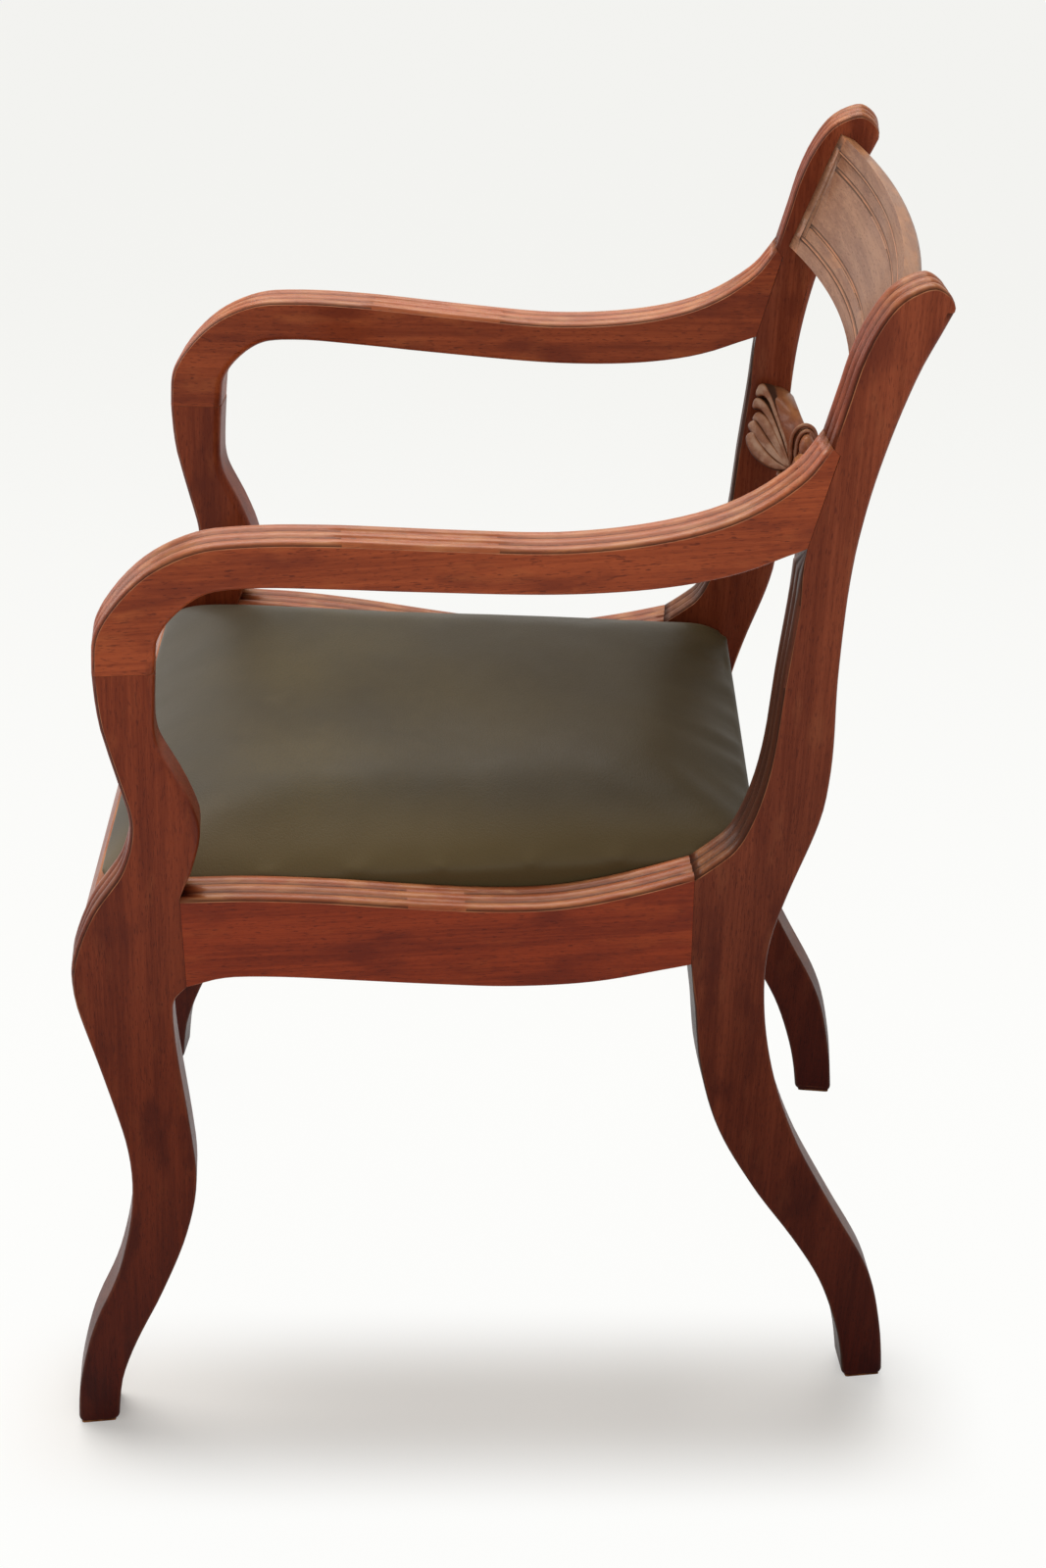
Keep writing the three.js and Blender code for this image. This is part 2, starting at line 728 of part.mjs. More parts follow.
function crestRing(x, faceHalf) {
  const turns = [...borderTurns, ...lineTurns];
  const rises = [...turns.map((turn) => crestHeight - turn), ...[...turns].reverse()];
  const ring = rises.map((rise) => {
    const fromEdge = Math.min(rise, crestHeight - rise);
    return crestPoint(x, rise, borderDepth(faceHalf - Math.abs(x), fromEdge));
  });
  ring.push(crestPoint(x, 0, crestThickness));
  for (let step = 0; step <= crestRoundSteps; step++) {
    const angle = (step / crestRoundSteps) * (Math.PI / 2);
    ring.push(crestPoint(x, crestHeight - crestTopRound * (1 - Math.sin(angle)),
      crestThickness - crestTopRound * (1 - Math.cos(angle))));
  }
  return ring;
}

function crestRailGeometry() {
  const faceHalf = innerHalf(crestHead.x);
  const overrun = crestHalf - faceHalf + cutOverrun;
  const inner = faceHalf - borderBeadEnd - borderBeadWidth / 4;
  const steps = Math.ceil((2 * inner) / stationLength);
  const stations = [];
  for (let step = 0; step <= steps; step++) {
    stations.push(THREE.MathUtils.lerp(-inner, inner, step / steps));
  }
  const ends = borderTurns.slice(1).map((turn) => faceHalf - turn).reverse();
  stations.push(...ends, faceHalf + overrun);
  stations.unshift(-faceHalf - overrun, ...[...ends].reverse().map((x) => -x));
  const rings = stations.map((x) => crestRing(x, faceHalf));
  return crossRailGeometry(loftGeometry(rings, flattenUpright), crestTenon);
}

// Middle rail
const middleFoot = chairPoint(middleFootShares);
const middleHead = chairPoint(middleHeadShares);
const middleHalf = innerHalf(middleFoot.x);
const voluteX = middleHalf - voluteFromStile;
const voluteZ = heightOf(voluteTopLevelShare) - voluteRadius;

const middleTenon = crossTenon({
  x: middleHalf, y: middleFoot.x + middleThickness / 2, z: (middleFoot.y + middleHead.y) / 2,
  thickness: middleTenonThickness, height: middleTenonHeight, length: middleTenonLength,
});

// Height of the middle rail's top edge: level at the stiles, dipping to the volute, and low between
function middleTop(x) {
  const fromStile = middleHalf - Math.abs(x);
  const centreTop = middleFoot.y + middleCentreHeight;
  if (Math.abs(x) < voluteX) {
    return centreTop;
  }
  const share = Math.min(fromStile / voluteFromStile, 1);
  return THREE.MathUtils.lerp(middleHead.y, centreTop, middleDipShare * share * share);
}

function middleRing(x) {
  const front = middleFoot.x + bowAt(x, middleHalf, middleBow);
  const back = front + middleThickness;
  const top = middleTop(x);
  const at = (y, z) => new THREE.Vector3(x, y, z);
  return [
    at(front, top - middleArris / 2), at(front, middleFoot.y), at(back, middleFoot.y),
    at(back, top - middleArris), at(back - middleArris, top), at(front + middleArris / 2, top),
  ];
}

function middleBody() {
  const end = middleHalf + cutOverrun;
  const steps = 2 * Math.ceil(end / stationLength);
  const stations = [];
  for (let step = 0; step <= steps; step++) {
    stations.push(THREE.MathUtils.lerp(-end, end, step / steps));
  }
  for (const side of [-1, 1]) {
    stations.push(side * voluteX, side * (voluteX - glueGap));
  }
  stations.sort((a, b) => a - b);
  return loftGeometry(stations.map(middleRing), flattenUpright);
}

// Roll of a volute through the thickness of the rail
function voluteRoll() {
  const front = middleFoot.x + bowAt(voluteX, middleHalf, middleBow);
  const roll = new THREE.CylinderGeometry(voluteRadius, voluteRadius, middleThickness, voluteSides);
  return roll.translate(voluteX, front + middleThickness / 2, voluteZ);
}

// Raised rim that winds in from the edge of the roll to its eye
function voluteRim() {
  const front = middleFoot.x + bowAt(voluteX, middleHalf, middleBow);
  const points = [];
  for (let step = 0; step <= rimSteps; step++) {
    const share = step / rimSteps;
    const angle = -Math.PI / 2 + share * voluteTurns * 2 * Math.PI;
    const radius = THREE.MathUtils.lerp(voluteRadius - voluteRimRadius, voluteEyeRadius, share);
    points.push(new THREE.Vector3(
      voluteX + radius * Math.cos(angle), front, voluteZ + radius * Math.sin(angle)));
  }
  const section = [];
  for (let side = 0; side < rimSides; side++) {
    const angle = (side / rimSides) * 2 * Math.PI;
    section.push(new THREE.Vector2(voluteRimRadius * Math.cos(angle), voluteRimRadius * Math.sin(angle)));
  }
  return new THREE.ExtrudeGeometry(new THREE.Shape(section), {
    steps: rimSteps, extrudePath: new THREE.CatmullRomCurve3(points), bevelEnabled: false,
  });
}

function ballGeometry(radius, middle) {
  const geometry = new THREE.SphereGeometry(radius, ballSides, ballRows);
  return geometry.translate(middle.x, middle.y, middle.z);
}

// One lobe of a palmette, thin at its root and full at its tip, leaning forward as it goes out
function lobeGeometry(root, index) {
  const share = index / (lobeCount - 1);
  const angle = THREE.MathUtils.lerp(lobeTopAngle, lobeBottomAngle, share);
  const length = THREE.MathUtils.lerp(lobeLongest, lobeShortest, share);
  const flare = lobeFlare * (length / lobeLongest);
  const tip = new THREE.Vector3(length * Math.cos(angle), -flare, length * Math.sin(angle)).add(root);
  const geometry = new THREE.SphereGeometry(1, lobeSides, lobeRows).rotateZ(-Math.PI / 2);
  const spots = geometry.attributes.position;
  for (let spot = 0; spot < spots.count; spot++) {
    const taper = THREE.MathUtils.lerp(lobeTaperShare, 1, (spots.getX(spot) + 1) / 2);
    spots.setY(spot, spots.getY(spot) * taper);
    spots.setZ(spot, spots.getZ(spot) * taper);
  }
  geometry.scale(root.distanceTo(tip) / 2, lobeThickness / 2, lobeWidth / 2);
  const outward = tip.clone().sub(root).normalize();
  const across = new THREE.Vector3(-Math.sin(angle), 0, Math.cos(angle));
  const facing = across.clone().cross(outward);
  const turn = new THREE.Matrix4().makeBasis(outward, facing, across);
  const middle = root.clone().add(tip).divideScalar(2);
  return geometry.applyMatrix4(turn).translate(middle.x, middle.y, middle.z);
}

// Carving at the left end of the middle rail
function carvings() {
  const rootX = middleHalf - palmetteRootFromStile;
  const front = middleFoot.x + bowAt(rootX, middleHalf, middleBow);
  const root = new THREE.Vector3(rootX, front, middleFoot.y + palmetteRootRise);
  const pieces = [voluteRoll(), voluteRim()];
  pieces.push(ballGeometry(voluteEyeRadius, new THREE.Vector3(
    voluteX, middleFoot.x + bowAt(voluteX, middleHalf, middleBow), voluteZ)));
  pieces.push(ballGeometry(collarRadius, new THREE.Vector3(rootX, front, middleFoot.y + collarRadius)));
  for (let index = 0; index < lobeCount; index++) {
    pieces.push(lobeGeometry(root, index));
  }
  return pieces;
}

// Plain turned roundel in the middle of the rail
function roundelGeometry() {
  const profile = [
    new THREE.Vector2(0, -cutOverrun),
    new THREE.Vector2(roundelRadius, -cutOverrun),
    new THREE.Vector2(roundelRadius, roundelDepth / 2),
    new THREE.Vector2(roundelRadius - roundelDepth / 2, roundelDepth / 2),
    new THREE.Vector2(roundelRadius / 2, 0),
    new THREE.Vector2(roundelRadius / 4, roundelDepth),
    new THREE.Vector2(0, roundelDepth),
  ];
  const geometry = new THREE.LatheGeometry(profile, voluteSides).rotateX(Math.PI);
  return geometry.translate(
    0, middleFoot.x + middleBow, middleFoot.y + middleCentreHeight / 2);
}

function middleRailGeometry() {
  const left = carvings();
  return crossRailGeometry(middleBody(), middleTenon, [...left, ...left.map(mirrored), roundelGeometry()]);
}

// Corner blocks. A block is named by its corner and lies against a cross rail and the left side frame.
const blockMiddle = seatLedgeHeight - blockHeight / 2;
const blockPlaces = [
  { place: "front", faceDepthHere: frontRailBack, jointShare: frontJointShare, way: 1 },
  { place: "rear", faceDepthHere: rearRailFront, jointShare: rearJointShare, way: -1 },
];

// How far the screws of a block stand from the corner, and how far the block reaches
function blockReach({ faceDepthHere, jointShare, way }) {
  const jointDepth = innerDepth(jointShare * sideLength);
  const screws = Math.abs(jointDepth + way * screwFromJoint - faceDepthHere);
  return { screws, block: screws + screwFromBlockEnd };
}

function blockPlan(blockPlace) {
  const { faceDepthHere, way } = blockPlace;
  const reach = blockReach(blockPlace).block;
  const start = faceDepthHere + way * glueGap;
  const end = start + way * reach;
  const half = (depth) => innerHalf(depth) - glueGap;
  const outline = [
    new THREE.Vector2(half(start), start),
    new THREE.Vector2(half(end), end),
    new THREE.Vector2(half(start) - reach, start),
  ];
  return way > 0 ? outline : outline.reverse();
}

// Screw pointing along a direction, with the top of its head at the start
function screwGeometry(start, direction, clearance = 0) {
  const length = screwBlockGrip + screwGrip + clearance;
  const radius = screwRadius + clearance;
  const profile = [new THREE.Vector2(0, length)];
  profile.push(new THREE.Vector2(radius, length - screwTipLength));
  profile.push(new THREE.Vector2(radius, screwHeadHeight + clearance));
  profile.push(new THREE.Vector2(screwHeadRadius + clearance, 0));
  if (clearance > 0) {
    profile.push(new THREE.Vector2(screwHeadRadius + clearance, -length));
    profile.push(new THREE.Vector2(0, -length));
  } else {
    profile.push(new THREE.Vector2(0, 0));
  }
  const turn = new THREE.Quaternion().setFromUnitVectors(new THREE.Vector3(0, 1, 0), direction);
  return new THREE.LatheGeometry(profile.reverse(), screwSides).applyQuaternion(turn)
    .translate(start.x, start.y, start.z);
}

function blockScrews(blockPlace, clearance) {
  const { faceDepthHere, way } = blockPlace;
  const reach = blockReach(blockPlace).screws;
  const sideDepth = faceDepthHere + way * reach;
  const intoSide = new THREE.Vector3(Math.cos(splay), Math.sin(splay), 0);
  const intoRail = new THREE.Vector3(0, -way, 0);
  const sideStart = new THREE.Vector3(innerHalf(sideDepth), sideDepth, blockMiddle)
    .addScaledVector(intoSide, -screwBlockGrip);
  const railStart = new THREE.Vector3(innerHalf(faceDepthHere) - reach, faceDepthHere, blockMiddle)
    .addScaledVector(intoRail, -screwBlockGrip);
  return {
    side: screwGeometry(sideStart, intoSide, clearance),
    rail: screwGeometry(railStart, intoRail, clearance),
  };
}

// Plan outline of the seat, anticlockwise, with rounded corners
function seatPlan(front, rear, inset, radius) {
  const points = [];
  const half = (depth) => innerHalf(depth) - inset;
  const corners = [
    { side: 1, depth: front + radius, start: -Math.PI / 2 },
    { side: 1, depth: rear - radius, start: 0 },
    { side: -1, depth: rear - radius, start: Math.PI / 2 },
    { side: -1, depth: front + radius, start: Math.PI },
  ];
  for (const { side, depth, start } of corners) {
    const middle = new THREE.Vector2(side * (half(depth) - radius), depth);
    for (let step = 0; step <= planCornerSteps; step++) {
      const angle = start + (step / planCornerSteps) * (Math.PI / 2);
      const arm = new THREE.Vector2(radius * Math.cos(angle), radius * Math.sin(angle));
      points.push(arm.add(middle));
    }
  }
  return points.flatMap((point, index) => {
    const next = points[(index + 1) % points.length];
    const steps = (index + 1) % (planCornerSteps + 1) === 0 ? planSideSteps : 1;
    return Array.from({ length: steps }, (_, step) => point.clone().lerp(next, step / steps));
  });
}

const seatBottom = seatLedgeHeight + glueGap;
const seatRollHeight = railTopHeight - seatRollDrop;
const seatCrownHeight = seatRollHeight + seatCrownRise;
const seatFront = frontLipBack + seatClearance;
const seatRear = rearLipFront - seatClearance;
const seatMiddle = THREE.MathUtils.lerp(seatFront, seatRear, seatCentreShare);

// Cushion drawn in at its skirt and rolled over the lips, with its top crowned. An inset makes the
// same shape smaller all round.
function cushionGeometry(inset) {
  const atHeight = (outline, height) => outline.map(({ x, y }) => new THREE.Vector3(x, y, height));
  const fromSide = seatClearance + inset;
  const skirt = seatPlan(seatFront + inset, seatRear - inset, fromSide, skirtCornerRadius - inset);
  const roll = seatPlan(
    seatFront - seatFrontRoll + inset, seatRear + seatRearRoll - inset, fromSide, rollCornerRadius - inset);
  const under = skirt.map((point, index) => point.clone().lerp(roll[index], skirtToRollShare));
  const tuckHeight = lipHeight + rollAir + inset;
  const rings = [
    atHeight(skirt, seatBottom + inset),
    atHeight(skirt, tuckHeight),
    atHeight(under, THREE.MathUtils.lerp(tuckHeight, seatRollHeight, skirtRiseShare)),
    atHeight(roll, seatRollHeight),
  ];
  const middle = new THREE.Vector2(0, seatMiddle);
  for (const turnShare of seatCrownTurnShares) {
    const angle = turnShare * (Math.PI / 2);
    const reach = Math.sin(angle) ** (2 / seatCrownPower);
    const rise = Math.cos(angle) ** (2 / seatCrownPower) * (seatCrownHeight - inset - seatRollHeight);
    rings.push(atHeight(roll.map((point) => middle.clone().lerp(point, reach)), seatRollHeight + rise));
  }
  return loftGeometry(rings, flattenPlan);
}

// Leather with its edge turned under the seat frame
function seatCoverGeometry() {
  const opening = seatPlan(seatFront + leatherTurnUnder, seatRear - leatherTurnUnder,
    seatClearance + leatherTurnUnder, skirtCornerRadius);
  return worked(cushionGeometry(0), {
    cuts: [
      cushionGeometry(leatherThickness),
      prismGeometry(opening, seatBottom - cutOverrun, seatBottom + cutOverrun),
    ],
  });
}

// Frame of the drop-in seat
const memberInset = leatherThickness + glueGap;
const memberBottom = seatBottom + memberInset;
const memberTop = memberBottom + seatMemberThickness;
const memberFront = seatFront + memberInset;
const memberRear = seatRear - memberInset;
const memberSide = seatClearance + memberInset + seatMemberWidth;

function seatTenonGeometry(depth, clearance) {
  const half = innerHalf(depth) - memberSide;
  const width = seatMemberWidth / 2 + 2 * clearance;
  const length = seatTenonLength + cutOverrun + clearance;
  const height = seatTenonThickness + 2 * clearance;
  const geometry = new THREE.BoxGeometry(length, width, height);
  return geometry.translate(half + length / 2 - cutOverrun, depth, (memberBottom + memberTop) / 2);
}

function crossMemberGeometry(front) {
  const rear = front + seatMemberWidth;
  const half = (depth) => innerHalf(depth) - memberSide - glueGap;
  const outline = [
    new THREE.Vector2(-half(front), front), new THREE.Vector2(half(front), front),
    new THREE.Vector2(half(rear), rear), new THREE.Vector2(-half(rear), rear),
  ];
  const tenon = seatTenonGeometry((front + rear) / 2, 0);
  return worked(prismGeometry(outline, memberBottom, memberTop), { joins: [tenon, mirrored(tenon)] });
}

function sideMemberGeometry() {
  const inner = (depth) => innerHalf(depth) - memberSide;
  const outer = (depth) => innerHalf(depth) + cutOverrun;
  const strip = [
    new THREE.Vector2(inner(memberFront - cutOverrun), memberFront - cutOverrun),
    new THREE.Vector2(outer(memberFront - cutOverrun), memberFront - cutOverrun),
    new THREE.Vector2(outer(memberRear + cutOverrun), memberRear + cutOverrun),
    new THREE.Vector2(inner(memberRear + cutOverrun), memberRear + cutOverrun),
  ];
  const plan = seatPlan(
    memberFront, memberRear, seatClearance + memberInset, skirtCornerRadius - memberInset);
  return worked(prismGeometry(strip, memberBottom, memberTop), {
    trim: prismGeometry(plan, memberBottom, memberTop),
    cuts: [memberFront + seatMemberWidth / 2, memberRear - seatMemberWidth / 2]
      .map((depth) => seatTenonGeometry(depth, glueGap)),
  });
}

// Webbing band that passes over or under three others. It lies low at its ends, on the seat frame.
const webbingLow = memberTop + glueGap;
const webbingLift = webbingThickness + glueGap;

function webbingGeometry(from, to, crossings, liftedFirst) {
  const path = [new THREE.Vector2(from, webbingLow)];
  crossings.forEach((crossing, index) => {
    const lifted = (index % 2 === 0) === liftedFirst;
    if (lifted) {
      const reach = webbingWidth / 2 + webbingEase;
      path.push(new THREE.Vector2(crossing - reach - 2 * webbingEase, webbingLow));
      path.push(new THREE.Vector2(crossing - reach, webbingLow + webbingLift));
      path.push(new THREE.Vector2(crossing + reach, webbingLow + webbingLift));
      path.push(new THREE.Vector2(crossing + reach + 2 * webbingEase, webbingLow));
    }
  });
  path.push(new THREE.Vector2(to, webbingLow));
  const upper = path.map((point) => new THREE.Vector2(point.x, point.y + webbingThickness)).reverse();
  const shape = new THREE.Shape([...path, ...upper]);
  return new THREE.ExtrudeGeometry(shape, { depth: webbingWidth, bevelEnabled: false })
    .translate(0, 0, -webbingWidth / 2).rotateX(Math.PI / 2);
}

const webbingTop = webbingLow + webbingLift + webbingThickness;
const sackingBottom = webbingTop + glueGap;
const sackingTop = sackingBottom + sackingThickness;

function sackingGeometry() {
  const inset = memberInset + sackingSetback;
  const outline = seatPlan(seatFront + inset, seatRear - inset, seatClearance + inset, skirtCornerRadius);
  return prismGeometry(outline, sackingBottom, sackingTop);
}

function stuffingGeometry() {
  const around = [
    new THREE.Vector2(-frontWidth, -faceDepth), new THREE.Vector2(frontWidth, -faceDepth),
    new THREE.Vector2(frontWidth, 2 * faceDepth), new THREE.Vector2(-frontWidth, 2 * faceDepth),
  ];
  return worked(cushionGeometry(leatherThickness + glueGap), {
    trim: prismGeometry(around, sackingTop + glueGap, overallHeight),
  });
}

function namedMesh(name, geometry, look) {
  const mesh = new THREE.Mesh(geometry, new THREE.MeshStandardMaterial({ ...look, flatShading: true }));
  mesh.name = name;
  return mesh;
}

// Pieces of the left side frame, in its own plane
function sideFramePieces() {
  const cutsFor = (shapes) => shapes.map((shape) => shape.clone().applyMatrix4(toLeftPlane));
  const screwCuts = blockPlaces.map((blockPlace) => blockScrews(blockPlace, glueGap).side);
  const frontLeg = worked(boardGeometry(joinStretches(frontEdge, legBack, supportBack)), {
    cuts: [
      mortiseGeometry(frontTenon), dowelGeometry(glueGap), ...cutsFor([mortiseGeometry(frontRailTenon)]),
    ],
  });
  const rearOutline = joinStretches(rearEdge, corner(armShoulder), stileFront, rearLegFront);
  const rearLeg = worked(boardGeometry(rearOutline), {
    cuts: [
      mortiseGeometry(rearTenon), mortiseGeometry(armTenon),
      ...cutsFor([rearRailTenon, middleTenon, crestTenon].map(mortiseGeometry)),
    ],
  });
  const armOutline = joinStretches(armUnder, corner(armShoulder.clone()), armTop).map((entry) => ({
    ...entry, point: entry.point.clone().add(new THREE.Vector2(-glueGap, glueGap)),
  }));
  const arm = worked(boardGeometry(armOutline), {
    joins: [boxGeometry(armTenon)], cuts: [dowelGeometry(glueGap)],
  });
  const sideRail = worked(boardGeometry(joinStretches(sideRailUnder, sideRailTop)), {
    joins: [boxGeometry(frontTenon), boxGeometry(rearTenon)], cuts: cutsFor(screwCuts),
  });
  return [
    { name: "front_leg", geometry: frontLeg, look: mahogany },
    { name: "rear_leg", geometry: rearLeg, look: mahogany },
    { name: "arm", geometry: arm, look: armMahogany },
    { name: "side_rail", geometry: sideRail, look: mahogany },
    { name: "arm_dowel", geometry: dowelGeometry(), look: beech },
  ];
}

const chair = new THREE.Group();

const leftFrame = new THREE.Group();
leftFrame.position.set(frontWidth / 2, 0, 0);
leftFrame.rotation.z = splay;
const rightFrame = new THREE.Group();
rightFrame.position.set(-frontWidth / 2, 0, 0);
rightFrame.rotation.z = -splay;
for (const { name, geometry, look } of sideFramePieces()) {
  leftFrame.add(namedMesh(`${name}_left`, geometry, look));
  rightFrame.add(namedMesh(`${name}_right`, mirrored(geometry), look));
}
chair.add(leftFrame, rightFrame);

// Both rails get the holes of the screws that hold their corner blocks
function screwedRail(geometry, blockPlace) {
  const hole = blockScrews(blockPlace, glueGap).rail;
  return worked(geometry, { cuts: [hole, mirrored(hole)] });
}

chair.add(
  namedMesh("front_rail", screwedRail(frontRailGeometry(), blockPlaces[0]), mahogany),
  namedMesh("rear_rail", screwedRail(rearRailGeometry(), blockPlaces[1]), mahogany),
  namedMesh("crest_rail", crestRailGeometry(), mahogany),
  namedMesh("middle_rail", middleRailGeometry(), mahogany),
);

for (const blockPlace of blockPlaces) {
  const { place } = blockPlace;
  const holes = Object.values(blockScrews(blockPlace, glueGap));
  const plan = prismGeometry(blockPlan(blockPlace), seatLedgeHeight - blockHeight, seatLedgeHeight);
  const block = worked(plan, { cuts: holes });
  const screws = blockScrews(blockPlace);
  for (const [side, shape] of [["left", (piece) => piece], ["right", mirrored]]) {
    chair.add(namedMesh(`corner_block_${place}_${side}`, shape(block), beech));
    for (const [target, screw] of Object.entries(screws)) {
      chair.add(namedMesh(`block_screw_${place}_${side}_${target}`, shape(screw), steel));
    }
  }
}

const seat = new THREE.Group();
const sideMember = sideMemberGeometry();
seat.add(
  namedMesh("seat_frame_front", crossMemberGeometry(memberFront), beech),
  namedMesh("seat_frame_rear", crossMemberGeometry(memberRear - seatMemberWidth), beech),
  namedMesh("seat_frame_left", sideMember, beech),
  namedMesh("seat_frame_right", mirrored(sideMember), beech),
  namedMesh("seat_sacking", sackingGeometry(), sacking),
  namedMesh("seat_stuffing", stuffingGeometry(), horsehair),
  namedMesh("seat_cover", seatCoverGeometry(), leather),
);

const webbingMiddle = (memberFront + memberRear) / 2;
const webbingSteps = [-1, 0, 1];
webbingSteps.forEach((step, index) => {
  const offset = step * webbingSpacing;
  const liftedFirst = index % 2 === 0;
  const lengthwise = webbingGeometry(
    memberFront + webbingSetback, memberRear - webbingSetback,
    webbingSteps.map((other) => webbingMiddle + other * webbingSpacing), liftedFirst);
  const rearmost = webbingMiddle + offset + webbingWidth / 2;
  const reach = innerHalf(rearmost) - seatClearance - memberInset - webbingSetback;
  const crosswise = webbingGeometry(
    -reach, reach, webbingSteps.map((other) => other * webbingSpacing), !liftedFirst);
  seat.add(
    namedMesh(`webbing_long_${index + 1}`, lengthwise.rotateZ(Math.PI / 2).translate(offset, 0, 0), jute),
    namedMesh(`webbing_cross_${index + 1}`, crosswise.translate(0, webbingMiddle + offset, 0), jute),
  );
});
chair.add(seat);

// Origin on the floor, in the middle of the footprint
chair.updateMatrixWorld(true);
const bounds = new THREE.Box3().setFromObject(chair, true);
const centre = bounds.getCenter(new THREE.Vector3());
chair.position.set(-centre.x, -centre.y, -bounds.min.z);

const part = new THREE.Group();
part.add(chair);

export default part;
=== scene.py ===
# Looks of a mahogany scroll-arm dining chair with reeded side frames and a drop-in leather seat.
# Metres, +Z up. The front of the chair faces -Y and +X is the sitter's left.

import bmesh
import bpy
import math
from mathutils import Euler, Matrix, Vector, noise
from mathutils.bvhtree import BVHTree
from mathutils.kdtree import KDTree


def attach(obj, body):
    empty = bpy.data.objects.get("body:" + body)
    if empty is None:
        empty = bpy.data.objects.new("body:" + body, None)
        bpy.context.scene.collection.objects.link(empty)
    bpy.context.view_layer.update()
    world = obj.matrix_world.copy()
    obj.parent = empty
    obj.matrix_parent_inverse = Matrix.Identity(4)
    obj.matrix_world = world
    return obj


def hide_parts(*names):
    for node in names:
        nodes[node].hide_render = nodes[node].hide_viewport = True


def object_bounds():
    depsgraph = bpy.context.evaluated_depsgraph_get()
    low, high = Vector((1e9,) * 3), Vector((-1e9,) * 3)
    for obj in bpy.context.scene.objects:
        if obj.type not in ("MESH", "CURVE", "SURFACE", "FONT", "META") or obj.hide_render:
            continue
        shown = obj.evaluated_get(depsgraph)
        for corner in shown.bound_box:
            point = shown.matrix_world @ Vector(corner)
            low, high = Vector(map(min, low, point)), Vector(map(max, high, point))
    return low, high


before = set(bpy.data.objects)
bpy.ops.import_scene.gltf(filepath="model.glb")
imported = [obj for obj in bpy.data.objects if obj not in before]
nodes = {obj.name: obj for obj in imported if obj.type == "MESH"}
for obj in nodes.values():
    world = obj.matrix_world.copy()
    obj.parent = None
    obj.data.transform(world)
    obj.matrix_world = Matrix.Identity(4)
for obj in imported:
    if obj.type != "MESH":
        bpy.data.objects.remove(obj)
cad_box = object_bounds()
bpy.ops.object.select_all(action="DESELECT")

# Sizes of the chair that the scene repeats
MM = 0.001
FRONT_WIDTH = 504 * MM
REAR_WIDTH = 400 * MM
FACE_DEPTH = 607 * MM
FRAME_THICKNESS = 32 * MM
DEPTH_CENTRE = 302.135 * MM
SPLAY = math.atan((FRONT_WIDTH - REAR_WIDTH) / 2 / FACE_DEPTH)


# Half of the clear width between the side frames at a depth
def inner_half(y):
    depth = y + DEPTH_CENTRE
    return FRONT_WIDTH / 2 - FRAME_THICKNESS / math.cos(SPLAY) - depth * math.tan(SPLAY)


# ---- camera
def place_camera():
    yaw, pitch, roll = math.radians(0.856), math.radians(31.937), math.radians(0.503)
    ahead = Vector((-math.cos(pitch) * math.cos(yaw), math.cos(pitch) * math.sin(yaw), -math.sin(pitch)))
    level = ahead.cross(Vector((0, 0, 1))).normalized()
    upright = level.cross(ahead)
    right = math.cos(roll) * level + math.sin(roll) * upright
    up = math.cos(roll) * upright - math.sin(roll) * level
    picture_width, picture_height = 1067, 1600
    focal, middle_x, middle_y = 2681.9, 562.4, 926.2
    lens = bpy.data.cameras.new("photo_camera")
    lens.sensor_width = 36
    lens.lens = focal / picture_height * lens.sensor_width
    lens.shift_x = (picture_width / 2 - middle_x) / picture_height
    lens.shift_y = (middle_y - picture_height / 2) / picture_height
    lens.clip_start, lens.clip_end = 0.05, 100
    camera = bpy.data.objects.new("photo_camera", lens)
    turn = Matrix((right, up, -ahead)).transposed().to_4x4()
    camera.matrix_world = Matrix.Translation((1.71895, 0.02539, 1.36834)) @ turn
    bpy.context.scene.collection.objects.link(camera)
    bpy.context.scene.camera = camera


# ---- finishes
RAYS_THAT_SEE = ["Camera", "Glossy", "Transmission"]


class Socket:
    """A socket of a finish that takes part in Python arithmetic."""

    def __init__(self, finish, socket):
        self.finish = finish
        self.socket = socket

    def worked(self, operation, first, second):
        return self.finish.node("ShaderNodeMath", {"operation": operation}, {0: first, 1: second})

    def __add__(self, other):
        return self.worked("ADD", self, other)

    def __radd__(self, other):
        return self.worked("ADD", other, self)

    def __sub__(self, other):
        return self.worked("SUBTRACT", self, other)

    def __rsub__(self, other):
        return self.worked("SUBTRACT", other, self)

    def __mul__(self, other):
        return self.worked("MULTIPLY", self, other)

    def __rmul__(self, other):
        return self.worked("MULTIPLY", other, self)

    def __pow__(self, other):
        return self.worked("POWER", self, other)


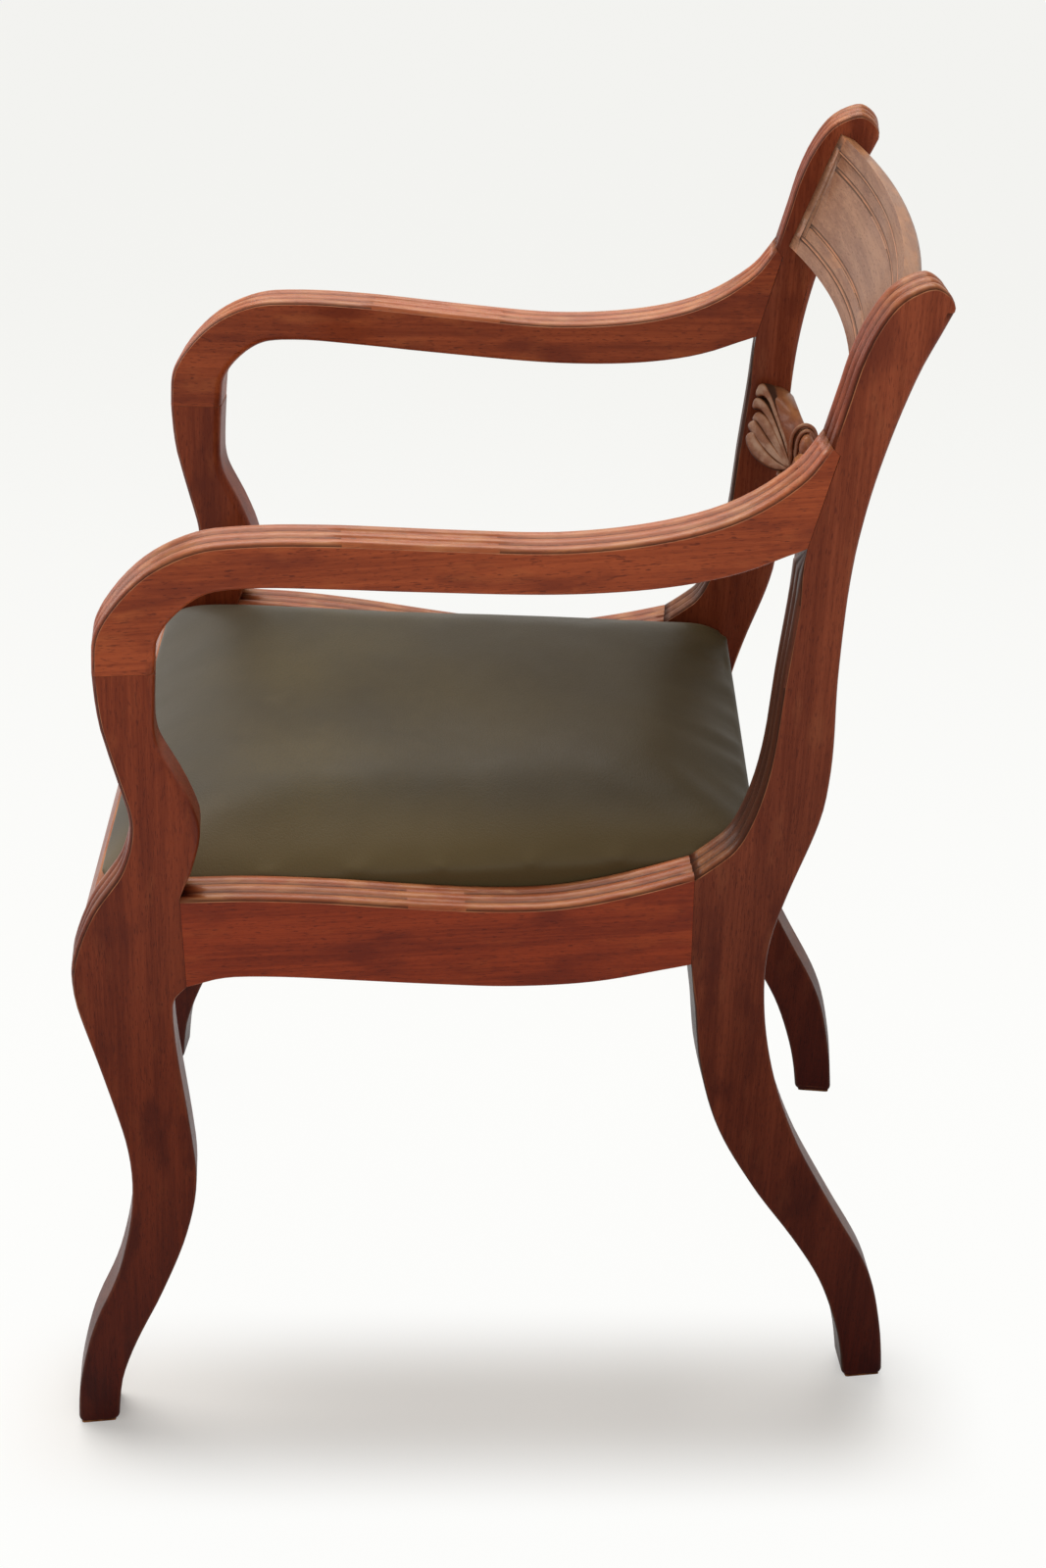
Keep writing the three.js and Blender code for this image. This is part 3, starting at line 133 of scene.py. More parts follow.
class Finish:
    """A material mixed from nodes."""

    def __init__(self, name, kind=None):
        self.material = (bpy.data.materials if kind is None else kind).new(name)
        self.material.use_nodes = True
        self.tree = self.material.node_tree
        self.tree.nodes.clear()

    def node(self, kind, settings=None, sockets=None, output=0):
        made = self.tree.nodes.new(kind)
        for name, value in (settings or {}).items():
            if name == "stops":
                ramp = made.color_ramp
                for place, color in value[2:]:
                    ramp.elements.new(place)
                for element, (place, color) in zip(ramp.elements, value):
                    element.position = place
                    element.color = color if len(color) == 4 else (*color, 1)
            else:
                setattr(made, name, value)
        for name, value in (sockets or {}).items():
            if isinstance(value, Socket):
                self.tree.links.new(value.socket, made.inputs[name])
            else:
                made.inputs[name].default_value = value
        return Socket(self, made.outputs[output]) if made.outputs else None

    # One where the camera, a reflection or glass looks straight at a surface
    def seen_directly(self):
        rays = [self.node("ShaderNodeLightPath", output=f"Is {kind} Ray") for kind in RAYS_THAT_SEE]
        return self.node("ShaderNodeMath", {"operation": "MAXIMUM"}, {
            0: rays[0], 1: self.node("ShaderNodeMath", {"operation": "MAXIMUM"}, {0: rays[1], 1: rays[2]})})

    def place(self):
        return self.node("ShaderNodeTexCoord", output="Object")

    def attribute(self, name):
        return self.node("ShaderNodeAttribute", {"attribute_name": name}, output="Fac")

    # Noise whose spots have a size in metres along each axis of the grain
    def spots(self, size, grain=(0, 0, 0), seed=0.0, detail=2.0, roughness=0.5, distortion=0.0):
        spread = self.node("ShaderNodeMapping", {"vector_type": "TEXTURE"}, {
            "Vector": self.place(), "Location": (seed, seed / 3, -seed / 2), "Rotation": grain, "Scale": size,
        })
        return self.node("ShaderNodeTexNoise", sockets={
            "Vector": spread, "Scale": 1.0, "Detail": detail, "Roughness": roughness, "Distortion": distortion,
        })

    # Share that rises from 0 to 1 while a value runs from low to high
    def rise(self, value, low, high):
        return self.node("ShaderNodeMapRange", {"interpolation_type": "SMOOTHSTEP"}, {
            "Value": value, "From Min": low, "From Max": high,
        })

    def blend(self, share, first, second, kind="MIX"):
        return self.node(
            "ShaderNodeMix", {"data_type": "RGBA", "blend_type": kind}, {0: share, 6: first, 7: second}, output=2)

    def ramp(self, value, *stops):
        return self.node("ShaderNodeValToRGB", {"stops": stops}, {"Fac": value})

    def bumped(self, height, depth, strength=1.0):
        return self.node(
            "ShaderNodeBump", sockets={"Height": height, "Distance": depth, "Strength": strength}, output="Normal")

    def shine(self, **sockets):
        named = {name.replace("_", " "): value for name, value in sockets.items()}
        shader = self.node("ShaderNodeBsdfPrincipled", sockets=named)
        self.node("ShaderNodeOutputMaterial", sockets={"Surface": shader})
        return self.material


def color(red, green, blue):
    return (red, green, blue, 1.0)


# Turn that lays the length of the grain along one direction on a board that faces another
def grain_turn(along, facing):
    length = Vector(along).normalized()
    across = Vector(facing).cross(length).normalized()
    return tuple(Matrix((length, across, length.cross(across))).transposed().to_euler())


# French-polished mahogany: fine streaks and pores, rubbed arrises lightened by wear and by a painted sheen, painted
# light on upward faces, dirt with painted shade in the hollows, dark joints, and painted shade by height that darkens
# the feet
def mahogany(name, grain, seed, tone, shade, flecks=0.5, mottle=1.0, rubbed=(0.42, 0.16, 0.07), gloss=1.0, forward_shade=0.0):
    finish = Finish(name)
    red, green, blue = tone
    ribbon = finish.spots((0.3, 0.018, 0.018), grain, seed, detail=1.5, distortion=0.5)
    streaks = finish.spots((0.09, 0.0022, 0.0022), grain, seed + 1, detail=3, roughness=0.6)
    fibre = finish.spots((0.02, 0.0005, 0.0005), grain, seed + 2, detail=1)
    figure = finish.rise(ribbon * 0.45 + streaks * 0.4 + fibre * 0.15, 0.36, 0.66)
    wood = finish.ramp(
        figure, (0.0, color(red * 0.72, green * 0.64, blue * 0.6)), (1.0, color(red * 1.24, green * 1.34, blue * 1.4)))
    cloud = finish.rise(finish.spots((0.06, 0.022, 0.022), grain, seed + 3, detail=3), 0.5, 0.7)
    wood = finish.blend(cloud * (0.6 * mottle), wood, color(red * 0.55, green * 0.45, blue * 0.5))
    bloom = finish.rise(finish.spots((0.05, 0.016, 0.016), grain, seed + 8, detail=3), 0.54, 0.76)
    wood = finish.blend(bloom * (0.5 * mottle), wood, color(red * 1.3, green * 1.7, blue * 1.8))
    pores = finish.rise(finish.spots((0.006, 0.0006, 0.0006), grain, seed + 4, detail=0.5), 0.62, 0.72)
    dashes = finish.rise(finish.spots((0.0075, 0.0013, 0.0013), grain, seed + 5, detail=1.5), 0.64, 0.7)
    wood = finish.blend(pores * 0.5, wood, color(red * 0.3, green * 0.22, blue * 0.3))
    wood = finish.blend(dashes * flecks, wood, color(red * 0.22, green * 0.16, blue * 0.25))
    # Painted shade by height: the wood is multiplied by the shares of the shade table, darker towards the feet and
    # lighter at the tops of the legs
    height = finish.node("ShaderNodeSeparateXYZ", sockets={0: finish.place()}, output=2)
    stops = [(place, color(*shares)) for place, shares in shade]
    wood = finish.blend(1.0, wood, finish.ramp(height, stops[0], stops[-1], *stops[1:-1]), "MULTIPLY")
    # Painted light on the faces that look up, in patches, and rubbed arrises lightened partly by wear and partly as a
    # painted sheen
    wear_and_sheen = finish.rise(finish.spots((0.03, 0.008, 0.008), grain, seed + 6, detail=3), 0.4, 0.7)
    wood = finish.blend(finish.attribute("upward") * (0.25 + 0.4 * wear_and_sheen), wood, color(0.46, 0.2, 0.08))
    arris = finish.attribute("arris") * (0.2 + 0.55 * wear_and_sheen)
    wood = finish.blend(arris, wood, color(*rubbed))
    # Dirt with painted shade in creases, grooves and under carved parts, and dark joints, from the hollow mark
    hollow = finish.attribute("hollow")
    wood = finish.blend(hollow * 0.88, wood, color(0.016, 0.006, 0.0035))
    # Painted shade on the faces that look forward, below the seat
    if forward_shade:
        low_down = finish.rise(height, 0.72, 0.66)
        wood = finish.blend(finish.attribute("forward") * low_down * forward_shade, wood, color(0.03, 0.014, 0.008))
    smear = finish.spots((0.05, 0.03, 0.03), seed=seed + 7, detail=4)
    relief = 0.3 * fibre + 0.25 * streaks - 0.9 * pores - 0.6 * flecks * dashes
    return finish.shine(
        Base_Color=wood, Roughness=0.28 + 0.2 * smear + 0.25 * hollow + 0.1 * pores,
        Specular_IOR_Level=0.12 * gloss, Coat_Weight=0.11 * finish.rise(height, 0.25, 0.5) - 0.1 * hollow, Coat_Roughness=0.12,
        Normal=finish.bumped(relief, 0.00008, 0.5),
    )


# Unfinished beech with its small brown rays
def beech(name, grain, seed):
    finish = Finish(name)
    rings = finish.spots((0.3, 0.006, 0.006), grain, seed, detail=3, distortion=0.4)
    rays = finish.rise(finish.spots((0.0028, 0.0005, 0.0005), grain, seed + 1, detail=0.5), 0.62, 0.7)
    grime = finish.spots((0.06, 0.04, 0.04), seed=seed + 2, detail=4)
    tone = finish.ramp(rings, (0.3, color(0.4, 0.235, 0.12)), (0.7, color(0.56, 0.37, 0.21)))
    tone = finish.blend(rays * 0.6, tone, color(0.22, 0.1, 0.045))
    tone = finish.blend(finish.rise(grime, 0.45, 0.75) * 0.5, tone, color(0.2, 0.12, 0.065))
    return finish.shine(
        Base_Color=tone, Roughness=0.66 + 0.2 * grime, Normal=finish.bumped(rings * 0.5 + rays, 0.0001, 0.6))


# Plain weave of coarse yarn, drawn along X and Y
def woven(name, yarn, light, dark, depth):
    finish = Finish(name)
    place = finish.place()
    across = finish.node("ShaderNodeSeparateXYZ", sockets={0: place}, output=0)
    along = finish.node("ShaderNodeSeparateXYZ", sockets={0: place}, output=1)

    warp = finish.node("ShaderNodeMath", {"operation": "SINE"}, {0: across * (math.pi / yarn)})
    weft = finish.node("ShaderNodeMath", {"operation": "SINE"}, {0: along * (math.pi / yarn)})
    yarns = finish.rise(warp * weft, -0.8, 0.8)
    fuzz = finish.spots((yarn / 3, yarn / 3, yarn / 3), detail=3)
    tone = finish.blend(yarns * 0.6 + fuzz * 0.4, dark, light)
    return finish.shine(
        Base_Color=tone, Roughness=0.9, Normal=finish.bumped(yarns * 0.7 + fuzz * 0.3, depth, 0.8))


# Dull steel of the hidden screws
def screw_steel(name):
    finish = Finish(name)
    tarnish = finish.spots((0.004, 0.004, 0.004), detail=4)
    tone = finish.ramp(tarnish, (0.35, color(0.16, 0.13, 0.1)), (0.65, color(0.38, 0.36, 0.33)))
    return finish.shine(
        Base_Color=tone, Metallic=0.85, Roughness=0.35 + 0.35 * tarnish, Normal=finish.bumped(tarnish, 0.0001, 0.4))


# Olive upholstery leather with a fine pebbled grain and a soft sheen, darker towards the back as painted shade, with a
# painted grey reflection at the front and a painted sheen along the +X side
def olive_leather(name):
    finish = Finish(name)
    pebbles = finish.node("ShaderNodeTexVoronoi", {"feature": "SMOOTH_F1"}, {
        "Vector": finish.place(), "Scale": 820.0, "Smoothness": 0.6, "Randomness": 1.0,
    }, output="Distance")
    creases = finish.spots((0.0021, 0.0021, 0.0021), detail=3, roughness=0.6)
    cloud = finish.spots((0.09, 0.09, 0.05), detail=3, seed=2.0)
    rubbed = finish.spots((0.035, 0.035, 0.035), detail=4, seed=5.0)
    tone = finish.ramp(cloud, (0.3, color(0.04, 0.028, 0.0105)), (0.72, color(0.064, 0.0455, 0.0165)))
    tone = finish.blend(finish.rise(rubbed, 0.52, 0.8) * 0.35, tone, color(0.084, 0.063, 0.033))
    tone = finish.blend(finish.rise(pebbles, 0.35, 0.75) * 0.35, tone, color(0.042, 0.037, 0.021))
    depth = finish.node("ShaderNodeSeparateXYZ", sockets={0: finish.place()}, output=1)
    # Painted shade: the leather darkens towards the back of the seat
    tone = finish.blend(finish.rise(depth, -0.2, 0.16) * 0.68, tone, color(0.026, 0.017, 0.0065))
    # Painted reflection: a lighter, greyer tone towards the front edge
    tone = finish.blend(finish.rise(depth, -0.13, -0.25) * 0.6, tone, color(0.066, 0.058, 0.048))
    across = finish.node("ShaderNodeSeparateXYZ", sockets={0: finish.place()}, output=0)
    # Painted sheen: a brighter olive band along the +X side
    tone = finish.blend(finish.rise(across, 0.13, 0.2) * 0.55, tone, color(0.125, 0.088, 0.04))
    height = creases * 0.5 - pebbles * 0.5
    return finish.shine(
        Base_Color=tone, Roughness=0.36 + 0.16 * rubbed + 0.08 * pebbles, Specular_IOR_Level=0.1,
        Normal=finish.bumped(height, 0.00035, 0.5),
    )


def matted_hair(name):
    finish = Finish(name)
    strands = finish.spots((0.02, 0.0008, 0.0008), detail=3, distortion=2.0)
    tone = finish.ramp(strands, (0.35, color(0.02, 0.014, 0.01)), (0.65, color(0.11, 0.08, 0.055)))
    return finish.shine(Base_Color=tone, Roughness=0.85, Normal=finish.bumped(strands, 0.002, 1.0))


# ---- wooden pieces
def new_piece(name, mesh):
    piece = bpy.data.objects.new(name, mesh)
    bpy.context.scene.collection.objects.link(piece)
    return piece


def only(piece):
    bpy.ops.object.select_all(action="DESELECT")
    piece.select_set(True)
    bpy.context.view_layer.objects.active = piece


# Copy of a solid with its loose triangles merged and its flats cleared of edges
def merged_copy(node, name):
    piece = new_piece(name, nodes[node].data.copy())
    piece.data.materials.clear()
    only(piece)
    bpy.ops.object.mode_set(mode="EDIT")
    bpy.ops.mesh.select_all(action="SELECT")
    bpy.ops.mesh.remove_doubles(threshold=0.02 * MM)
    bpy.ops.mesh.dissolve_limited(angle_limit=math.radians(0.4))
    bpy.ops.object.mode_set(mode="OBJECT")
    return piece


# Angle at an edge of a mesh, above zero where it stands out
def edge_turns(mesh):
    faces_at = {}
    for polygon in mesh.polygons:
        for key in polygon.edge_keys:
            faces_at.setdefault(key, []).append(polygon)
    turns = {}
    for key, faces in faces_at.items():
        if len(faces) == 2:
            first, second = faces
            angle = first.normal.angle(second.normal, 0.0)
            bulges = first.normal.dot(Vector(second.center) - Vector(first.center)) < 0
            turns[key] = angle if bulges else -angle
    return turns


def ease(value, low, high):
    share = min(1.0, max(0.0, (value - low) / (high - low)))
    return share * share * (3 - 2 * share)


def shape_of(names):
    shapes = []
    for name in names:
        mesh = nodes[name].data
        shapes.append(BVHTree.FromPolygons(
            [v.co for v in mesh.vertices], [tuple(p.vertices) for p in mesh.polygons]))
    return shapes


# Distance from a spot to the nearest of some shapes, up to a reach
def gap_to(shapes, spot, reach):
    gaps = [shape.find_nearest(spot, reach)[3] for shape in shapes]
    return min((gap for gap in gaps if gap is not None), default=reach)


# Draws the shoulders of a joint up to the piece that they meet
def close_joints(piece, neighbours, left=0.05 * MM, reach=0.45 * MM):
    for shape in shape_of(neighbours):
        for vertex in piece.data.vertices:
            spot, _, _, gap = shape.find_nearest(vertex.co, reach)
            if spot is not None and gap > left:
                vertex.co = spot.lerp(vertex.co, left / gap)


def select_edges(piece, chosen):
    only(piece)
    bpy.ops.object.mode_set(mode="EDIT")
    bpy.ops.mesh.select_mode(type="EDGE")
    bpy.ops.mesh.select_all(action="DESELECT")
    bpy.ops.object.mode_set(mode="OBJECT")
    for edge in piece.data.edges:
        edge.select = chosen(edge)
    bpy.ops.object.mode_set(mode="EDIT")


def faces_by_edge(mesh):
    faces_at = {}
    for polygon in mesh.polygons:
        for key in polygon.edge_keys:
            faces_at.setdefault(key, []).append(polygon)
    return faces_at


# The edge that carries on most nearly straight from an end of another, or none past a corner
def edge_beyond(edge, end):
    ahead = (end.co - edge.other_vert(end).co).normalized()
    best, straightest = None, math.cos(math.radians(35))
    for other in end.link_edges:
        if other is not edge:
            alike = ahead.dot((other.other_vert(end).co - end.co).normalized())
            if alike > straightest:
                best, straightest = other, alike
    return best


# Halves the lengths that a curve of a sawn member is cut in, with the new points on the curve
def refine_curves(piece, outward, neighbours, least=3.5 * MM):
    shapes = shape_of(neighbours)
    outward = Vector(outward)
    shell = bmesh.new()
    shell.from_mesh(piece.data)
    halves = {}
    for edge in shell.edges:
        first, second = edge.verts
        length = edge.calc_length()
        across = abs((second.co - first.co).dot(outward)) > 0.3 * length
        middle = (first.co + second.co) / 2
        if across or length < least or gap_to(shapes, middle, 1 * MM) < 0.7 * MM:
            continue
        beyond = [(end, edge_beyond(edge, end)) for end in (first, second)]
        if all(other is None for _, other in beyond):
            continue
        spot = middle * 1.125
        for end, other in beyond:
            if other is None:
                further = end.co + (end.co - edge.other_vert(end).co)
            else:
                step = other.other_vert(end).co - end.co
                further = end.co + step * min(1.0, length / step.length)
            spot -= further / 16
        halves[edge] = spot
    split = {}
    faces = [face for face in shell.faces if abs(face.normal.dot(outward)) < 0.98]
    edges_of = {face: [edge for edge in face.edges if edge in halves] for face in faces}
    for edge, spot in halves.items():
        key = edge
        _, added = bmesh.utils.edge_split(edge, edge.verts[0], 0.5)
        added.co = spot
        split[key] = added
    for face, edges in edges_of.items():
        ends = [split[edge] for edge in edges]
        if len(ends) == 2 and all(end in face.verts for end in ends):
            bmesh.utils.face_split(face, *ends)
    shell.normal_update()
    shell.to_mesh(piece.data)
    shell.free()
    low, high = cad_box
    for vertex in piece.data.vertices:
        vertex.co = Vector(min(max(value, floor), top) for value, floor, top in zip(vertex.co, low, high))


# Rounds the two edges across the bottom of a leg, on heights that are cut for it
def round_foot(piece, radius=5 * MM):
    only(piece)
    for share in (0.08, 0.2, 0.4, 0.68, 1.0):
        bpy.ops.object.mode_set(mode="EDIT")
        bpy.ops.mesh.select_all(action="SELECT")
        bpy.ops.mesh.bisect(plane_co=(0, 0, share * radius), plane_no=(0, 0, 1))
        bpy.ops.object.mode_set(mode="OBJECT")
    foot = [vertex for vertex in piece.data.vertices if vertex.co.z < 1.01 * radius]
    front = min(vertex.co.y for vertex in foot)
    back = max(vertex.co.y for vertex in foot)
    middle, half = (front + back) / 2, (back - front) / 2
    for vertex in foot:
        below = max(0.0, 1 - vertex.co.z / radius)
        inset = radius * (1 - math.sqrt(1 - below * below))
        vertex.co.y = middle + (vertex.co.y - middle) * (half - inset) / half


# Brings the reeds of a stile to their full depth right up to the underside of the arm
def deepen_reeds(piece, outward, reeds=3, depth=2.4 * MM, low=0.46, high=0.68):
    outward = Vector(outward)
    reach = max(vertex.co.dot(outward) for vertex in piece.data.vertices)
    crowns, sunk = [], []
    for vertex in piece.data.vertices:
        place = (reach - vertex.co.dot(outward)) / FRAME_THICKNESS * reeds
        step = (place - min(max(math.floor(place + 0.001), 0), reeds - 1)) * 2 - 1
        flat = vertex.co - outward * vertex.co.dot(outward)
        if low < vertex.co.z < high:
            if abs(step) < 0.05:
                crowns.append(flat)
            elif abs(step) > 0.5:
                sunk.append((vertex, flat, depth * (1 - math.sqrt(max(0.0, 1 - step * step)))))
    if not crowns:
        return
    for vertex, flat, full in sunk:
        crown = min(crowns, key=lambda spot: (spot - flat).length)
        away = flat - crown
        if 0.03 * full < away.length < 0.97 * full:
            vertex.co += away * (full / away.length - 1)


# Shift in a flat face that keeps two distances from the two edges at a corner
def corner_shift(inward, widths):
    first, second = inward
    alike = first.dot(second)
    if alike > 0.85:
        return (first + second) * (sum(widths) / 2 / (1 + alike))
    share = 1 / (1 - alike * alike)
    return first * ((widths[0] - alike * widths[1]) * share) + second * ((widths[1] - alike * widths[0]) * share)


def spot_key(spot):
    return tuple(round(value, 7) for value in spot)


# Rounds the arrises all round the two flat sides of a sawn member, each by its own width
def round_sides(piece, outward, neighbours, width_at, joint_width, steps=4, plain_width=24 * MM):
    shapes = shape_of(neighbours)
    shell = bmesh.new()
    shell.from_mesh(piece.data)
    for normal in (Vector(outward), -Vector(outward)):
        alike = [face for face in shell.faces if face.normal.dot(normal) > 0.9998]
        reach = max(face.calc_center_median().dot(normal) for face in alike)
        side = [face for face in alike if face.calc_center_median().dot(normal) > reach - 0.1 * MM]
        inside = set(side)

        def outline():
            edges = {}
            for face in side:
                for loop in face.loops:
                    if sum(other in inside for other in loop.edge.link_faces) == 1:
                        edges[loop.edge] = loop
            return edges

        def is_jointed(edge):
            middle = (edge.verts[0].co + edge.verts[1].co) / 2
            return gap_to(shapes, middle, 1 * MM) < 0.7 * MM

        for edge in list(outline()):
            if edge.calc_length() < 14 * MM or not is_jointed(edge):
                continue
            start, finish = edge.verts
            _, middle = bmesh.utils.edge_split(edge, start, 6 * MM / edge.calc_length())
            rest = next(other for other in middle.link_edges if other.other_vert(middle) is finish)
            bmesh.utils.edge_split(rest, finish, 6 * MM / rest.calc_length())
        corners = {}
        for edge, loop in outline().items():
            inward = normal.cross((loop.link_loop_next.vert.co - loop.vert.co).normalized())
            middle = (edge.verts[0].co + edge.verts[1].co) / 2
            narrow = next(face for face in edge.link_faces if face not in inside)
            across = [vertex.co.x for vertex in narrow.verts]
            if is_jointed(edge):
                width = joint_width(middle)
            elif max(across) - min(across) < plain_width:
                width = 0.6 * MM
            else:
                width = width_at(middle)
            for vertex in edge.verts:
                corners.setdefault(spot_key(vertex.co), []).append((inward, width))
        rims = []
        for _ in range(steps):
            rims.append(set(bmesh.ops.inset_region(
                shell, faces=side, thickness=0.02 * MM, depth=0, use_boundary=True, use_even_offset=True)["faces"]))
        rows = []
        for vertex in shell.verts:
            outer = any(face in rims[0] for face in vertex.link_faces)
            if not outer or spot_key(vertex.co) not in corners:
                continue
            row = [vertex]
            for rim in rims:
                for edge in row[-1].link_edges:
                    if all(face in rim for face in edge.link_faces):
                        row.append(edge.other_vert(row[-1]))
                        break
            rows.append(row)
        for row in rows:
            vertex = row[0]
            meeting = corners[spot_key(vertex.co)]
            if len(meeting) != 2 or len(row) != steps + 1:
                continue
            inward = [one[0] for one in meeting]
            widths = [one[1] for one in meeting]
            deep = sum(widths) / 2 if inward[0].dot(inward[1]) > 0.85 else max(widths)
            start = vertex.co.copy()
            for step, point in enumerate(row):
                angle = step / steps * math.pi / 2
                shift = corner_shift(inward, [width * (1 - math.cos(angle)) for width in widths])
                point.co = start + shift - normal * (deep * (1 - math.sin(angle)))
    bmesh.ops.remove_doubles(shell, verts=shell.verts, dist=0.005 * MM)
    shell.normal_update()
    shell.to_mesh(piece.data)
    shell.free()


# Rounds every arris that is left by the same small width
def ease_arrises(piece, neighbours, width=0.7 * MM, joint_width=0.3 * MM):
    mesh = piece.data
    turns = edge_turns(mesh)
    shapes = shape_of(neighbours)
    sharp, jointed = set(), set()
    for edge in mesh.edges:
        if turns.get(tuple(sorted(edge.vertices)), 0.0) > math.radians(50):
            first, second = (mesh.vertices[end].co for end in edge.vertices)
            kind = jointed if gap_to(shapes, (first + second) / 2, 1 * MM) < 0.7 * MM else sharp
            kind.add(edge.index)
    weights = mesh.attributes.new("bevel_weight_edge", "FLOAT", "EDGE")
    for edge in mesh.edges:
        weight = 1.0 if edge.index in sharp else joint_width / width if edge.index in jointed else 0.0
        weights.data[edge.index].value = weight
    only(piece)
    rounding = piece.modifiers.new("rounding", "BEVEL")
    rounding.limit_method = "WEIGHT"
    rounding.width = width
    rounding.segments = 2
    rounding.use_clamp_overlap = True
    bpy.ops.object.modifier_apply(modifier=rounding.name)


# Marks the arrises and the hollows of a piece, for its finish: rubbed arrises with a painted sheen, and hollows
# darkened by dirt with painted shade. A joint counts as a hollow.
def mark_edges(piece, neighbours, joint_reach=0.7 * MM, flat_area=60 * MM * MM):
    mesh = piece.data
    shapes = shape_of(neighbours)
    faces_at = faces_by_edge(mesh)
    sharpness = [0.0] * len(mesh.vertices)
    depth = [0.0] * len(mesh.vertices)
    for key, turn in edge_turns(mesh).items():
        first, second = (mesh.vertices[end].co for end in key)
        along = (second - first).normalized()
        reaches = []
        for face in faces_at[key]:
            away = face.center - first
            reaches.append((away - along * away.dot(along)).length)
        bend = abs(turn) / (2 * min(reaches) / MM + 0.01)
        for end in key:
            if turn > math.radians(14):
                sharpness[end] = max(sharpness[end], ease(bend, 0.3, 1.0))
            elif turn < -math.radians(14):
                depth[end] = max(depth[end], min(1.0, -turn / math.radians(40)))
    jointed = [gap_to(shapes, vertex.co, 2 * joint_reach) < joint_reach for vertex in mesh.vertices]
    arris = mesh.attributes.new("arris", "FLOAT", "CORNER")
    hollow = mesh.attributes.new("hollow", "FLOAT", "CORNER")
    for polygon in mesh.polygons:
        if polygon.area > flat_area:
            continue
        for corner in polygon.loop_indices:
            vertex = mesh.loops[corner].vertex_index
            hollow.data[corner].value = 0.3 if jointed[vertex] else depth[vertex]
            if not jointed[vertex] and depth[vertex] == 0:
                arris.data[corner].value = sharpness[vertex] * ease(mesh.vertices[vertex].co.z, 2 * MM, 9 * MM)


def smooth_shading(piece, angle=40):
    only(piece)
    bpy.ops.object.shade_smooth_by_angle(angle=math.radians(angle), keep_sharp_edges=False)
    weigh = piece.modifiers.new("even_normals", "WEIGHTED_NORMAL")
    weigh.keep_sharp = True
    weigh.weight = 80
    bpy.ops.object.modifier_apply(modifier=weigh.name)


# Marks how far a piece faces up and forward at each corner of its faces, for its finish: painted light on the upward
# faces and painted shade on the forward faces of the rear legs
def mark_facings(piece):
    mesh = piece.data
    normals = [corner.vector.copy() for corner in mesh.corner_normals]
    for name, way, low, high in (("upward", (0, 0, 1), 0.3, 0.95), ("forward", (0, -1, 0), 0.35, 0.8)):
        marks = mesh.attributes.new(name, "FLOAT", "CORNER")
        for mark, normal in zip(marks.data, normals):
            mark.value = ease(normal.dot(Vector(way)), low, high)


def finish_piece(piece, material, body, replaced):
    piece.data.materials.clear()
    piece.data.materials.append(material)
    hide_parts(*replaced)
    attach(piece, body)


place_camera()

WOODEN = [
    "front_leg_left", "front_leg_right", "rear_leg_left", "rear_leg_right", "arm_left", "arm_right",
    "side_rail_left", "side_rail_right", "front_rail", "rear_rail", "crest_rail", "middle_rail",
]


def facing(side):
    return (side * math.cos(SPLAY), math.sin(SPLAY), 0)


def along_frame(side, rise):
    return (-side * math.sin(SPLAY), math.cos(SPLAY), rise)


def wooden_neighbours(node):
    return [other for other in WOODEN if other != node]


# Width of the rounding on the plain arrises of a member, at a spot on the arris
def rounding_rule(kind, shapes):
    def width_at(spot):
        if kind == "front_leg":
            width = 2.2 + 3.4 * ease(spot.z, 0.45, 0.49)
        elif kind == "arm":
            width = 2.6 + 3.0 * (1 - ease(spot.y, -0.22, -0.08))
        elif kind == "rear_leg":
            width = 2.4 + 2.6 * ease(spot.z, 0.5, 0.84)
        else:
            width = 1.8
        foot = 1 + 0.5 * (1 - ease(spot.z, 0.004, 0.02))
        joint = 0.15 + 0.85 * ease(gap_to(shapes, spot, 30 * MM), 1 * MM, 24 * MM)
        return width * foot * joint * MM
    return width_at


ARM_TONE = (0.3, 0.057, 0.0155)
FRONT_LEG_TONE = (0.255, 0.036, 0.0095)
REAR_LEG_TONE = (0.225, 0.044, 0.0165)
RAIL_TONE = (0.2, 0.0245, 0.0048)
BACK_TONE = (0.2, 0.046, 0.018)
# A greyer, paler tone for the crest and a paler one for the carving, each with a painted sheen in it
CREST_TONE_AND_SHEEN = (0.225, 0.102, 0.053)
CARVING_TONE_AND_SHEEN = (0.2, 0.056, 0.022)

# Shares of a tone that are left at heights above the floor. On the legs this is painted shade: the feet are darker and
# redder and the upper parts lighter. The arm's shares only darken its lower end, towards its joint with the front leg.
EVEN_SHADE = [(0.0, (1.0, 1.0, 1.0)), (1.0, (1.0, 1.0, 1.0))]
ARM_SHADE = [
    (0.0, (0.78, 0.68, 0.72)), (0.62, (0.78, 0.68, 0.72)), (0.69, (1.0, 1.0, 1.0)), (1.0, (1.0, 1.0, 1.0)),
]
FRONT_SHADE = [
    (0.0, (0.16, 0.08, 0.05)), (0.2, (0.44, 0.36, 0.32)), (0.4, (0.7, 0.66, 0.66)), (0.5, (0.85, 0.9, 0.95)),
    (0.61, (1.12, 1.38, 1.55)), (1.0, (1.12, 1.4, 1.6)),
]
REAR_SHADE = [
    (0.0, (0.14, 0.05, 0.03)), (0.2, (0.24, 0.1, 0.06)), (0.48, (0.33, 0.14, 0.1)), (0.6, (0.9, 0.84, 0.8)),
    (0.8, (1.05, 1.08, 1.1)), (1.0, (1.15, 1.25, 1.3)),
]


